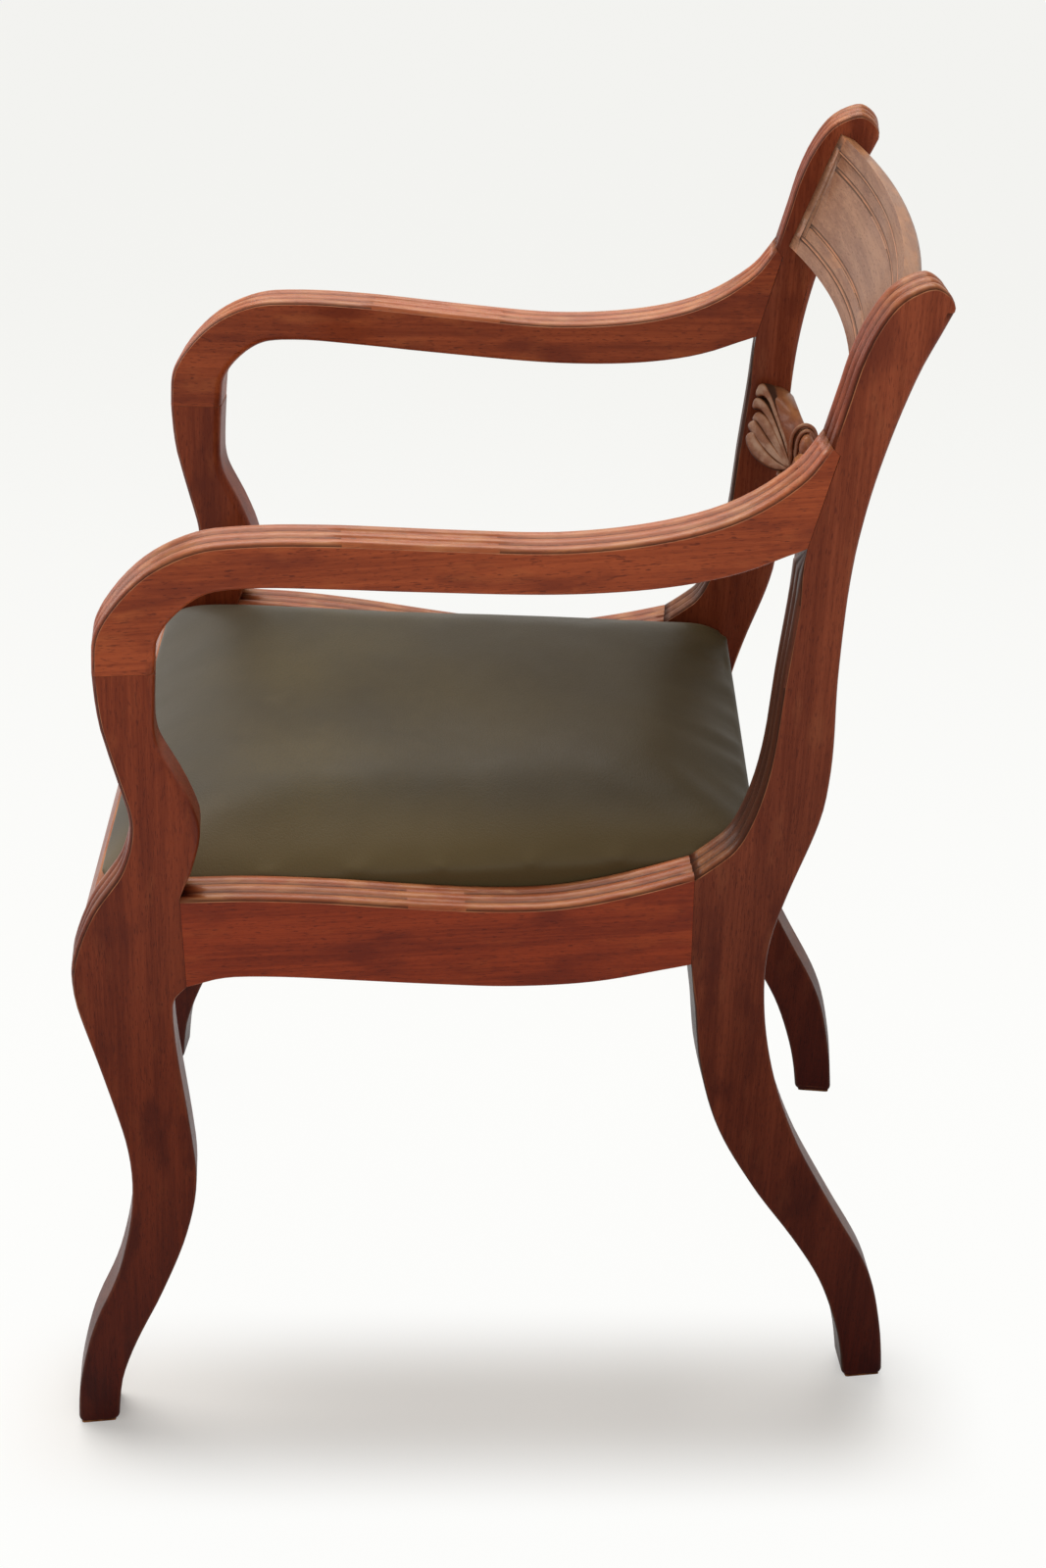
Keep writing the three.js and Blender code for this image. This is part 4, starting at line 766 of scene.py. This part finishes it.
def dress_side_frames():
    for side, word in ((1, "left"), (-1, "right")):
        upright = grain_turn((0.02 * side, 0.05, 1), facing(side))
        leaning = grain_turn((0, 0.03, 1), facing(side))
        level = grain_turn(along_frame(side, 0.0), facing(side))
        rising = grain_turn(along_frame(side, 0.03), facing(side))
        finishes = {
            "front_leg": (upright, 3.1, FRONT_LEG_TONE, FRONT_SHADE, 0.35, "mahogany"),
            "rear_leg": (leaning, 5.3, REAR_LEG_TONE, REAR_SHADE, 0.35, "mahogany"),
            "arm": (rising, 7.7, ARM_TONE, ARM_SHADE, 0.6, "mahogany_arm"),
            "side_rail": (level, 9.9, RAIL_TONE, EVEN_SHADE, 0.45, "mahogany"),
        }
        for kind, (grain, seed, tone, shade, flecks, slot) in finishes.items():
            node = f"{kind}_{word}"
            gloss = {"front_leg": 0.8, "rear_leg": 0.5}.get(kind, 1.0)
            # The rear legs take painted shade on their forward faces below the seat
            material = mahogany(
                f"mahogany_{node}", grain, seed + side, tone, shade, flecks, mottle=1.3, gloss=gloss,
                forward_shade=0.75 if kind == "rear_leg" else 0.0)
            piece = merged_copy(node, f"polished_{node}")
            met = wooden_neighbours(node)
            if kind in ("arm", "side_rail"):
                close_joints(piece, met)
            carried_on = {"arm": f"front_leg_{word}", "front_leg": f"arm_{word}"}.get(kind)
            rule = rounding_rule(kind, shape_of([other for other in met if other != carried_on]))
            if kind.endswith("leg"):
                round_foot(piece)
            if kind == "rear_leg":
                deepen_reeds(piece, facing(side))
            refine_curves(piece, facing(side), met)
            fine_joint = shape_of([carried_on]) if carried_on else []
            round_sides(
                piece, facing(side), met, rule,
                lambda spot: (0.1 if fine_joint and gap_to(fine_joint, spot, 1 * MM) < 0.7 * MM else 0.15) * MM)
            mark_edges(piece, met)
            smooth_shading(piece)
            mark_facings(piece)
            finish_piece(piece, material, "frame", [node])


def dress_cross_rails():
    across = grain_turn((1, 0, 0), (0, -1, 0))
    for index, node in enumerate(["front_rail", "rear_rail", "crest_rail"]):
        is_crest = node == "crest_rail"
        tone = CREST_TONE_AND_SHEEN if is_crest else BACK_TONE
        material = mahogany(f"mahogany_{node}", across, 12.3 + 2 * index, tone, EVEN_SHADE, 0.12, 0.3 if is_crest else 1.0)
        piece = merged_copy(node, f"polished_{node}")
        met = wooden_neighbours(node)
        ease_arrises(piece, met, 0.6 * MM)
        mark_edges(piece, met)
        smooth_shading(piece)
        mark_facings(piece)
        finish_piece(piece, material, "frame", [node])


# ---- carved middle rail
LEAF_FACING = Vector((0.69, -0.43, 0.58)).normalized()
LEAF_STEPS = 28

# Centre lines of the five leaves at the right end, root first, and their widths at shares of the length
LEAVES = [
    ([(-122, 229.2, 609.7), (-135.4, 225.7, 623.4), (-148.7, 220, 636.5), (-159.2, 215.4, 646.8), (-165, 211.3, 651.3),
      (-170.5, 206, 651.6)], [(0, 2.4), (0.6, 3.6), (0.76, 5.5), (0.88, 11.5), (1, 12.5)]),
    ([(-122, 227.8, 610.5), (-134.8, 222.8, 621.5), (-148.8, 216.8, 633.4), (-157.6, 211.9, 640.4),
      (-162.2, 207.9, 642.9), (-167, 203.4, 642.2)], [(0, 2.4), (0.45, 5), (0.72, 7), (0.88, 9.5), (1, 10)]),
    ([(-122, 227.3, 610.2), (-131.8, 222, 617.1), (-143.6, 215.7, 625.7), (-153.4, 209.8, 632.4),
      (-161.5, 203.6, 635)], [(0, 2.6), (0.35, 7), (0.65, 10), (0.88, 9.5), (1, 8)]),
    ([(-122, 227.2, 609.4), (-130.1, 219.4, 613.9), (-140.2, 210.9, 620.9), (-150, 203.9, 628.2),
      (-156, 200.8, 631.5)], [(0, 2.6), (0.35, 7), (0.65, 8.5), (0.88, 8), (1, 7)]),
    ([(-122, 227.6, 608.3), (-128.1, 218.5, 607.9), (-136, 208.8, 612.5), (-143.7, 202, 619.6),
      (-149.5, 200.4, 626)], [(0, 3), (0.3, 8), (0.6, 11), (0.88, 9), (1, 7)]),
]
STRANDS = [
    [(-124, 228.4, 604), (-119.5, 228.6, 615.6), (-117, 227.8, 627), (-116, 228.3, 636), (-116, 232, 642.4),
     (-116, 237.6, 644.8), (-116, 243.2, 642), (-116, 246, 635.5), (-116.5, 246.2, 626), (-118, 244.5, 614)],
    [(-121, 230.6, 604), (-116.5, 231.8, 615.6), (-113.6, 231.6, 626), (-112.8, 232.2, 634), (-112.8, 234.8, 639.4),
     (-112.8, 238.6, 641.4), (-112.8, 242, 639.4), (-112.8, 244, 634.5), (-113, 244, 625), (-114, 242, 614)],
]

# Section of the rail by the distance from the chair's middle: front foot, front edge of the top, back edge
RAIL_FRONT = [(0, 228.4), (100, 228.6), (122, 228), (135, 224.5), (150, 220), (165, 216.5), (176, 214.6)]
RAIL_EDGE_Y = [
    (0, 228.4), (96, 228.6), (104, 229), (112, 230), (122, 229.5), (130, 227.5), (140, 224.3), (150, 220.4),
    (160, 217.2), (168, 216), (176, 215.8)]
RAIL_EDGE_Z = [
    (0, 626.2), (96, 626.2), (104, 624), (112, 616), (122, 613), (130, 620), (140, 629), (150, 639.5), (160, 648),
    (168, 651.6), (176, 652.8)]
RAIL_BACK_Y = [(0, 245.2), (96, 245.2), (104, 243.5), (112, 240), (120, 237), (135, 235.5), (150, 234.5), (176, 233.2)]
RAIL_BACK_Z = [(0, 627.1), (96, 627.1), (104, 634), (112, 642.5), (120, 644), (135, 645.2), (150, 645.8), (176, 645.5)]
RAIL_FOOT = 595.2
ROUNDEL = [
    (12, -1), (12, 1.5), (11.4, 2.1), (10.2, 2.2), (9, 1.7), (7, 0.4), (5.6, 0.3), (4.6, 1.2), (3.2, 2.9), (1.6, 3.7),
    (0.02, 3.9)]


def value_at(table, place):
    for (start, low), (end, high) in zip(table, table[1:]):
        if place <= end:
            return low + (high - low) * (place - start) / (end - start)
    return table[-1][1]


# Evenly spread points of a smooth line through some places given in millimetres
def path_through(places, count):
    places = [Vector(place) * MM for place in places]
    ends = [places[0] * 2 - places[1], *places, places[-1] * 2 - places[-2]]
    spans = len(places) - 1
    points = []
    for step in range(count):
        along = step / (count - 1) * spans
        span = min(int(along), spans - 1)
        share = along - span
        before, start, end, after = ends[span:span + 4]
        points.append(0.5 * (
            2 * start + (end - before) * share + (2 * before - 5 * start + 4 * end - after) * share ** 2
            + (3 * start - before - 3 * end + after) * share ** 3))
    return points


class Carving:
    """Closed forms, given as rings of points with their marks, that make up one carved piece. The marks carry painted
    shade in the hollows and rubbed arrises with a painted sheen.
    """

    def __init__(self):
        self.points = []
        self.faces = []
        self.hollow = []
        self.arris = []

    def form(self, rings, marks, mirrored=True, left_shift=0.0):
        for side in (1, -1) if mirrored else (1,):
            shift = left_shift if side < 0 else 0.0
            start = len(self.points)
            count = len(rings[0])
            for ring, ring_marks in zip(rings, marks):
                self.points.extend((side * spot.x, spot.y + shift, spot.z) for spot in ring)
                self.hollow.extend(hollow for hollow, _ in ring_marks)
                self.arris.extend(arris for _, arris in ring_marks)
            for level in range(len(rings) - 1):
                for place in range(count):
                    corner, beside = start + level * count + place, start + level * count + (place + 1) % count
                    self.faces.append((corner, beside, beside + count, corner + count))
            self.faces.append(tuple(start + place for place in range(count)))
            self.faces.append(tuple(start + (len(rings) - 1) * count + place for place in range(count)))

    def piece(self, name):
        mesh = bpy.data.meshes.new(name)
        mesh.from_pydata(self.points, [], self.faces)
        for kind, values in (("arris", self.arris), ("hollow", self.hollow)):
            marks = mesh.attributes.new(kind, "FLOAT", "POINT")
            for mark, value in zip(marks.data, values):
                mark.value = value
        made = new_piece(name, mesh)
        only(made)
        bpy.ops.object.mode_set(mode="EDIT")
        bpy.ops.mesh.select_all(action="SELECT")
        bpy.ops.mesh.normals_make_consistent(inside=False)
        bpy.ops.object.mode_set(mode="OBJECT")
        bpy.ops.object.shade_smooth_by_angle(angle=math.radians(48))
        return made


# Directions along a line of points at one of them, out of the carving, and across
def frame_of(path, step):
    ahead = (path[min(step + 1, len(path) - 1)] - path[max(step - 1, 0)]).normalized()
    out = (LEAF_FACING - ahead * LEAF_FACING.dot(ahead)).normalized()
    return ahead, out, out.cross(ahead)


# Full leaf that tapers to its root, with a rounded tip and walls that run back into the rail
def carve_leaf(carving, places, widths, count=18, left_shift=0.0):
    path = path_through(places, LEAF_STEPS)
    rings, marks = [], []
    for step, spot in enumerate(path):
        share = step / (LEAF_STEPS - 1)
        _, out, across = frame_of(path, step)
        tip = math.sqrt(max(0.004, 1 - (max(0.0, share - 0.9) / 0.1) ** 2))
        half = value_at(widths, share) / 2 * MM * tip
        proud = min(2 * half, 9 * MM) * 0.36
        reach = max(3 * MM, value_at(RAIL_FRONT, abs(spot.x) / MM) * MM + 3 * MM - spot.y)
        ring, ring_marks = [], []
        for place in range(count):
            angle = place / count * 2 * math.pi
            side, height = math.cos(angle), math.sin(angle)
            point = spot + across * (half * math.copysign(abs(side) ** 0.8, side))
            if height >= 0:
                point += out * proud * height ** 0.9
                # Painted sheen along the crown of the leaf and painted shade down its sides
                ring_marks.append((1 - ease(height, 0.3, 0.72), ease(height, 0.55, 0.9)))
            else:
                point.y -= height * reach
                # Painted shade on the walls, less towards their backs
                ring_marks.append((1 - 0.75 * ease(-height, 0.7, 1), 0.0))
            limit = inner_half(point.y) - 0.7 * MM
            point.x = max(point.x, -limit)
            ring.append(point)
        rings.append(ring)
        marks.append(ring_marks)
    carving.form(rings, marks, left_shift=left_shift)


def carve_strand(carving, places, radius, count=12, steps=44, left_shift=0.0):
    path = path_through(places, steps)
    rings, marks = [], []
    for step, spot in enumerate(path):
        _, out, across = frame_of(path, step)
        before_back = 1 - ease(spot.y, 239 * MM, 243 * MM)
        ring, ring_marks = [], []
        for place in range(count):
            angle = place / count * 2 * math.pi
            side, height = math.cos(angle), math.sin(angle)
            ring.append(spot + (across * side + out * height) * radius)
            # Painted shade on the underside of the strand, fading behind the rail's back, and a painted sheen along
            # its top
            ring_marks.append(((1 - ease(height, -0.1, 0.55)) * before_back, 0.6 * ease(height, 0.6, 1)))
        rings.append(ring)
        marks.append(ring_marks)
    carving.form(rings, marks, left_shift=left_shift)


def carve_ball(carving, middle, radii, count=24, rows=14, shaded_below=-0.2, left_shift=0.0):
    rings, marks = [], []
    for row in range(rows + 1):
        tilt = (row / rows - 0.5) * math.pi * 0.98
        ring = []
        for place in range(count):
            angle = place / count * 2 * math.pi
            ring.append(Vector((
                middle[0] + radii[0] * math.cos(tilt) * math.cos(angle),
                middle[1] + radii[1] * math.cos(tilt) * math.sin(angle),
                middle[2] + radii[2] * math.sin(tilt))) * MM)
        rings.append(ring)
        # Painted shade on the ball below a given share of its height
        marks.append([(0.0 if math.sin(tilt) > shaded_below else 0.4, 0.0)] * count)
    carving.form(rings, marks, left_shift=left_shift)


def rail_section(from_middle, x_of):
    def at(y, z):
        return Vector((x_of(y * MM), y * MM, z * MM))

    front = value_at(RAIL_FRONT, from_middle)
    edge = (value_at(RAIL_EDGE_Y, from_middle), value_at(RAIL_EDGE_Z, from_middle))
    back = (value_at(RAIL_BACK_Y, from_middle), value_at(RAIL_BACK_Z, from_middle))
    bulge = 0.3 + 2.2 * ease(from_middle, 112, 126)
    ring = [at(front + 0.7, RAIL_FOOT), at(front, RAIL_FOOT + 0.7), at(front, edge[1] - 2)]
    # Rubbed arrises with a painted sheen along the edges, strongest at the back edge of the top; the section darkens
    # towards its ends, where it goes into the stiles
    marks = [(0, 0.3), (0, 0.3), (0, 0)]
    length = math.dist(edge, back)
    out = ((edge[1] - back[1]) / length, (back[0] - edge[0]) / length)
    for step in range(9):
        share = step / 8
        lift = bulge * 4 * share * (1 - share)
        ring.append(at(
            edge[0] + (back[0] - edge[0]) * share + out[0] * lift, edge[1] + (back[1] - edge[1]) * share + out[1] * lift))
        marks.append((0, 0.5 if step == 8 else 0))
    ring += [at(back[0] + 0.5, back[1] - 0.5), at(back[0] + 0.8, back[1] - 1.4), at(back[0] + 0.8, RAIL_FOOT + 0.7)]
    ring.append(at(back[0] + 0.1, RAIL_FOOT))
    marks += [(0, 0.5), (0, 0.2), (0, 0.3), (0, 0.3)]
    return ring, [(max(hollow, 0.7 * ease(from_middle, 171, 176)), arris) for hollow, arris in marks]


def carved_rail():
    carving = Carving()
    stations = [-176 + 4 * step for step in range(89)]
    rings, marks = [], []
    for place in stations:
        if abs(place) == 176:
            way = math.copysign(1, place)
            ring, ring_marks = rail_section(176, lambda y: way * (inner_half(y) + 0.2 * MM))
        else:
            ring, ring_marks = rail_section(abs(place), lambda y: place * MM)
        rings.append(ring)
        marks.append(ring_marks)
    carving.form(rings, marks, mirrored=False)
    tenon = [(219.1, 606.2), (226.7, 606.2), (226.7, 639.6), (219.1, 639.6)]
    ends = [
        [Vector((inner_half(y * MM) + past * MM, y * MM, z * MM)) for y, z in tenon] for past in (-4, 12.4, 13.4)]
    ends[2] = [spot.lerp(sum(ends[2], Vector()) / 4, 0.08) for spot in ends[2]]
    carving.form(ends, [[(0, 0)] * 4] * 3)
    for places, widths in LEAVES:
        carve_leaf(carving, places, widths, left_shift=6 * MM)
    for places in STRANDS:
        carve_strand(carving, places, 1.65 * MM, left_shift=-6 * MM)
    carve_ball(carving, (-119, 237.6, 630.5), (7.5, 9.0, 12.2), shaded_below=2, left_shift=-6 * MM)
    carve_ball(carving, (-108.5, 238.6, 629.5), (8.6, 5.9, 10.6), left_shift=-6 * MM)
    carve_ball(carving, (-117.5, 234, 608), (6.5, 5.5, 10), left_shift=-6 * MM)
    curl = [(-129, 222.5, 600.4), (-126, 222.6, 600.2), (-122.5, 226, 601.6), (-119, 229, 603.6)]
    carve_strand(carving, curl, 2.7 * MM, steps=16, left_shift=6 * MM)
    carve_ball(carving, (-128.6, 222.5, 600.6), (3.6, 3.4, 3.3), left_shift=6 * MM)
    rings = []
    for radius, proud in ROUNDEL:
        angles = [place / 40 * 2 * math.pi for place in range(40)]
        rings.append([
            Vector((radius * math.cos(angle), 228.4 - proud, 611.1 + radius * math.sin(angle))) * MM for angle in angles])
    # Painted shade in the grooves of the roundel, and rubbed arrises with a painted sheen on its rings
    levels = [0.8, 0.2, 0, 0, 0.2, 0.9, 0.9, 0.3, 0, 0, 0]
    carving.form(rings, [[(level, 0.3 * (1 - level))] * 40 for level in levels], mirrored=False)
    piece = carving.piece("polished_middle_rail")
    mark_facings(piece)
    across = grain_turn((1, 0, 0), (0, -1, 0))
    # A paler, pinker rubbed colour for the carving's crowns and arrises, as wear with a painted sheen
    material = mahogany(
        "mahogany_middle_rail", across, 18.3, CARVING_TONE_AND_SHEEN, EVEN_SHADE, 0.1, mottle=0.4, rubbed=(0.44, 0.285, 0.2))
    finish_piece(piece, material, "frame", ["middle_rail"])


def dress_hidden_pieces():
    lengthwise = grain_turn((0, 1, 0), (0, 0, 1))
    crosswise = grain_turn((1, 0, 0), (0, 0, 1))
    upright = grain_turn((0, 0, 1), (0, 1, 0))
    crossing = beech("beech_crosswise", crosswise, 31.0)
    running = beech("beech_lengthwise", lengthwise, 33.0)
    standing = beech("beech_upright", upright, 35.0)
    steel = screw_steel("steel_of_the_screws")
    jute = woven("jute_webbing", 1.6 * MM, color(0.5, 0.36, 0.2), color(0.22, 0.14, 0.07), 0.0008)
    hessian = woven("hessian", 1.1 * MM, color(0.52, 0.4, 0.24), color(0.26, 0.18, 0.1), 0.0005)
    hair = matted_hair("curled_hair")
    chosen = {
        "corner_block": crossing, "arm_dowel": standing, "block_screw": steel, "webbing": jute,
        "seat_sacking": hessian, "seat_frame_front": crossing, "seat_frame_rear": crossing,
        "seat_frame_left": running, "seat_frame_right": running, "seat_stuffing": hair,
    }
    for name, node in nodes.items():
        for start, material in chosen.items():
            if name.startswith(start):
                node.data.materials.clear()
                node.data.materials.append(material)


# ---- leather seat
SEAT_FRONT = -257.6 * MM
SEAT_REAR = 191.1 * MM
SEAT_CLEARANCE = 0.8 * MM
FRONT_ROLL = 12 * MM
REAR_ROLL = 13 * MM
SKIRT_BOTTOM = 418.3 * MM
LIP_HEIGHT = 441 * MM
ROLL_HEIGHT = 449 * MM
CROWN_HEIGHT = 485.5 * MM
CROWN_POWER = 2.4


def seat_plan(front, rear, inset, radius, corner_steps=10, side_steps=26):
    points = []
    quarter = math.pi / 2
    corners = [
        (1, front + radius, -quarter), (1, rear - radius, 0), (-1, rear - radius, quarter),
        (-1, front + radius, math.pi),
    ]
    for side, depth, start in corners:
        middle = Vector((side * (inner_half(depth) - inset - radius), depth))
        for step in range(corner_steps + 1):
            angle = start + step / corner_steps * quarter
            points.append(middle + radius * Vector((math.cos(angle), math.sin(angle))))
    outline = []
    for index, point in enumerate(points):
        following = points[(index + 1) % len(points)]
        steps = side_steps if (index + 1) % (corner_steps + 1) == 0 else 1
        outline.extend(point.lerp(following, step / steps) for step in range(steps))
    return outline


# Height that the pull of the tacks adds to the leather at a place near its edge
def pull(spot, from_edge):
    fade = math.exp(-(from_edge / 0.045) ** 2) * min(from_edge / 0.006, 1)
    around = math.atan2(spot.y + 0.03, spot.x)
    folds = noise.noise(Vector((around * 9, from_edge * 14, 0.3)))
    rear = ease(spot.y, 0.08, 0.19)
    return folds * fade * (0.0004 + 0.0024 * rear)


# Lets the leather swell over its stuffing as cloth does, held all round below its roll
def swell(piece, steps=20, cap=6 * MM):
    shape = BVHTree.FromPolygons(
        [vertex.co for vertex in piece.data.vertices], [tuple(face.vertices) for face in piece.data.polygons])
    only(piece)
    cells = piece.modifiers.new("even_cells", "REMESH")
    cells.mode = "VOXEL"
    cells.voxel_size = 5 * MM
    bpy.ops.object.modifier_apply(modifier=cells.name)
    mesh = piece.data
    for vertex in mesh.vertices:
        vertex.co = shape.find_nearest(vertex.co)[0]
    start = [vertex.co.copy() for vertex in mesh.vertices]
    held = piece.vertex_groups.new(name="held")
    for vertex in mesh.vertices:
        held.add([vertex.index], 1 - ease(vertex.co.z, ROLL_HEIGHT - 3 * MM, ROLL_HEIGHT + 6 * MM), "REPLACE")
    cloth = piece.modifiers.new("leather", "CLOTH")
    cloth.settings.use_pressure = True
    cloth.settings.uniform_pressure_force = 4
    cloth.settings.vertex_group_mass = held.name
    cloth.settings.effector_weights.gravity = 0
    cloth.point_cache.frame_start = 1
    cloth.point_cache.frame_end = steps
    for moment in range(1, steps + 1):
        bpy.context.scene.frame_set(moment)
    bpy.ops.object.modifier_apply(modifier=cloth.name)
    bpy.context.scene.frame_set(1)
    for vertex, before in zip(mesh.vertices, start):
        moved = vertex.co - before
        vertex.co = before + moved * min(1.0, cap / max(moved.length, 0.001 * MM))
        if before.z < ROLL_HEIGHT - 3 * MM:
            vertex.co = before
        reach = inner_half(vertex.co.y) - SEAT_CLEARANCE
        vertex.co.x = min(max(vertex.co.x, -reach), reach)
        vertex.co.y = min(max(vertex.co.y, SEAT_FRONT), SEAT_REAR)
    piece.vertex_groups.clear()
    only(piece)
    bpy.ops.object.mode_set(mode="EDIT")
    bpy.ops.mesh.select_mode(type="VERT")
    bpy.ops.mesh.select_all(action="DESELECT")
    bpy.ops.object.mode_set(mode="OBJECT")
    for vertex in mesh.vertices:
        vertex.select = vertex.co.z > ROLL_HEIGHT + 3 * MM
    bpy.ops.object.mode_set(mode="EDIT")
    bpy.ops.mesh.vertices_smooth(factor=0.5, repeat=30)
    bpy.ops.object.mode_set(mode="OBJECT")
    finer = piece.modifiers.new("finer", "SUBSURF")
    finer.levels = 1
    finer.render_levels = 1
    bpy.ops.object.modifier_apply(modifier=finer.name)
    for vertex in piece.data.vertices:
        spot = vertex.co
        from_edge = max(0.0, min(
            inner_half(spot.y) - SEAT_CLEARANCE - abs(spot.x), spot.y - SEAT_FRONT, SEAT_REAR - spot.y))
        if spot.z > ROLL_HEIGHT - 2 * MM:
            spot.z += pull(spot, from_edge)


def leather_seat():
    skirt_front, skirt_rear = SEAT_FRONT + FRONT_ROLL, SEAT_REAR - REAR_ROLL
    skirt = seat_plan(skirt_front, skirt_rear, SEAT_CLEARANCE, 8 * MM)
    roll = seat_plan(SEAT_FRONT, SEAT_REAR, SEAT_CLEARANCE, 24 * MM)
    count = len(roll)
    middle = Vector((0, skirt_front + 0.47 * (skirt_rear - skirt_front)))
    rings = []

    def ring(outline, height):
        rings.append([Vector((spot.x, spot.y, height)) for spot in outline])

    turned = seat_plan(skirt_front + 18 * MM, skirt_rear - 18 * MM, SEAT_CLEARANCE + 18 * MM, 8 * MM)
    ring(turned, SKIRT_BOTTOM + 1.8 * MM)
    ring(turned, SKIRT_BOTTOM + 0.3 * MM)
    eased = [spot.lerp(inner, 0.08) for spot, inner in zip(skirt, turned)]
    ring(eased, SKIRT_BOTTOM)
    ring(skirt, SKIRT_BOTTOM + 1.6 * MM)
    ring(skirt, LIP_HEIGHT + 1.5 * MM)
    for step in range(1, 7):
        share = step / 6
        angle = share * math.pi / 2
        outward = math.sin(angle)
        outline = [spot.lerp(outer, outward) for spot, outer in zip(skirt, roll)]
        ring(outline, LIP_HEIGHT + 1.5 * MM + (1 - math.cos(angle)) * (ROLL_HEIGHT - LIP_HEIGHT - 1.5 * MM))
    steps = 44
    for step in range(1, steps):
        angle = (1 - step / steps) * math.pi / 2
        reach = math.sin(angle) ** (2 / CROWN_POWER)
        rise = math.cos(angle) ** (2 / CROWN_POWER) * (CROWN_HEIGHT - ROLL_HEIGHT)
        outline = [middle.lerp(spot, reach) for spot in roll]
        heights = []
        for inner, outer in zip(outline, roll):
            from_edge = (outer - inner).length
            sway = 0.0012 * noise.noise(Vector((inner.x * 9, inner.y * 9, 1.7))) * min(from_edge / 0.03, 1)
            heights.append(ROLL_HEIGHT + rise + sway)
        rings.append([Vector((spot.x, spot.y, height)) for spot, height in zip(outline, heights)])
    points = [spot for one in rings for spot in one]
    points.append(Vector((middle.x, middle.y, CROWN_HEIGHT)))
    underside = [Vector((spot.x, spot.y, SKIRT_BOTTOM + 24 * MM)) for spot in turned]
    points.extend(underside)
    crown = len(rings) * count
    faces = []
    for level in range(len(rings) - 1):
        for place in range(count):
            beside = (place + 1) % count
            faces.append((
                level * count + place, level * count + beside,
                (level + 1) * count + beside, (level + 1) * count + place,
            ))
    last = (len(rings) - 1) * count
    for place in range(count):
        faces.append((last + place, last + (place + 1) % count, crown))
        beside = (place + 1) % count
        faces.append((crown + 1 + place, crown + 1 + beside, beside, place))
    faces.append(tuple(crown + 1 + place for place in reversed(range(count))))
    mesh = bpy.data.meshes.new("leather_seat")
    mesh.from_pydata([tuple(point) for point in points], [], faces)
    mesh.update()
    seat = new_piece("leather_seat", mesh)
    swell(seat)
    only(seat)
    bpy.ops.object.shade_smooth_by_angle(angle=math.radians(50))
    finish_piece(seat, olive_leather("olive_leather"), "seat", ["seat_cover", "seat_stuffing"])
    return seat


# ---- room
def area_light(name, place, target, size, power, tint=(1, 1, 1)):
    lamp = bpy.data.lights.new(name, "AREA")
    lamp.shape = "RECTANGLE"
    lamp.size, lamp.size_y = size
    lamp.energy = power
    lamp.color = tint
    light = bpy.data.objects.new(name, lamp)
    back = Vector(place) - Vector(target)
    light.matrix_world = Matrix.Translation(place) @ back.to_track_quat("Z", "Y").to_matrix().to_4x4()
    bpy.context.scene.collection.objects.link(light)


def make_room():
    mesh = bpy.data.meshes.new("floor")
    reach = 14.0
    corners = [(-reach, -reach, 0), (reach, -reach, 0), (reach, reach, 0), (-reach, reach, 0)]
    mesh.from_pydata(corners, [], [(0, 1, 2, 3)])
    floor = new_piece("floor", mesh)
    finish = Finish("pale_floor")
    seen = finish.seen_directly()
    matte = finish.node("ShaderNodeBsdfDiffuse", sockets={"Color": color(0.8, 0.79, 0.775)})
    across = finish.node("ShaderNodeSeparateXYZ", sockets={0: finish.place()}, output=0)
    along = finish.node("ShaderNodeSeparateXYZ", sockets={0: finish.place()}, output=1)
    from_band = finish.node("ShaderNodeMath", {"operation": "ABSOLUTE"}, {0: across - 0.235})
    from_middle = finish.node("ShaderNodeMath", {"operation": "ABSOLUTE"}, {0: along + 0.01})
    shaded = finish.rise(from_band, 0.12, 0.01) * finish.rise(from_middle, 0.4, 0.26)
    # Painted falloff of light in the backdrop's glow: darker behind the chair, towards -X, and greyer far from it
    tint = finish.blend(finish.rise(across, -2.5, 0.3), color(0.9, 0.9, 0.875), color(0.985, 0.985, 0.97))
    from_chair = finish.node("ShaderNodeVectorMath", {"operation": "LENGTH"}, {0: finish.place()}, output="Value")
    tint = finish.blend(finish.rise(from_chair, 3, 12), tint, color(0.93, 0.92, 0.9))
    glow = finish.node("ShaderNodeEmission", sockets={"Color": tint, "Strength": 1.0})
    mixed = finish.node("ShaderNodeMixShader", sockets={0: seen * (0.985 - 0.83 * shaded), 1: matte, 2: glow})
    finish.node("ShaderNodeOutputMaterial", sockets={"Surface": mixed})
    floor.data.materials.append(finish.material)
    room = Finish("pale_room", bpy.data.worlds)
    plain = room.node("ShaderNodeBackground", sockets={"Color": color(1.0, 0.985, 0.96), "Strength": 0.5})
    shown = room.node("ShaderNodeBackground", sockets={"Color": color(0.93, 0.92, 0.9), "Strength": 1.0})
    mixed = room.node("ShaderNodeMixShader", sockets={0: room.seen_directly(), 1: plain, 2: shown})
    room.node("ShaderNodeOutputWorld", sockets={"Surface": mixed})
    bpy.context.scene.world = room.material
    area_light("overhead", (-1.3, -0.3, 2.6), (0, 0, 0.35), (1.9, 1.9), 66, (1.0, 0.985, 0.96))
    area_light("window", (-1.1, -2.5, 1.6), (0, 0, 0.5), (1.8, 1.6), 40, (1.0, 0.97, 0.93))
    area_light("near_fill", (2.7, 0.4, 1.9), (0, 0, 0.45), (1.8, 1.4), 22, (1.0, 0.96, 0.9))
    bpy.context.scene.view_settings.view_transform = "Standard"


dress_side_frames()
dress_cross_rails()
carved_rail()
dress_hidden_pieces()
leather_seat()
make_room()
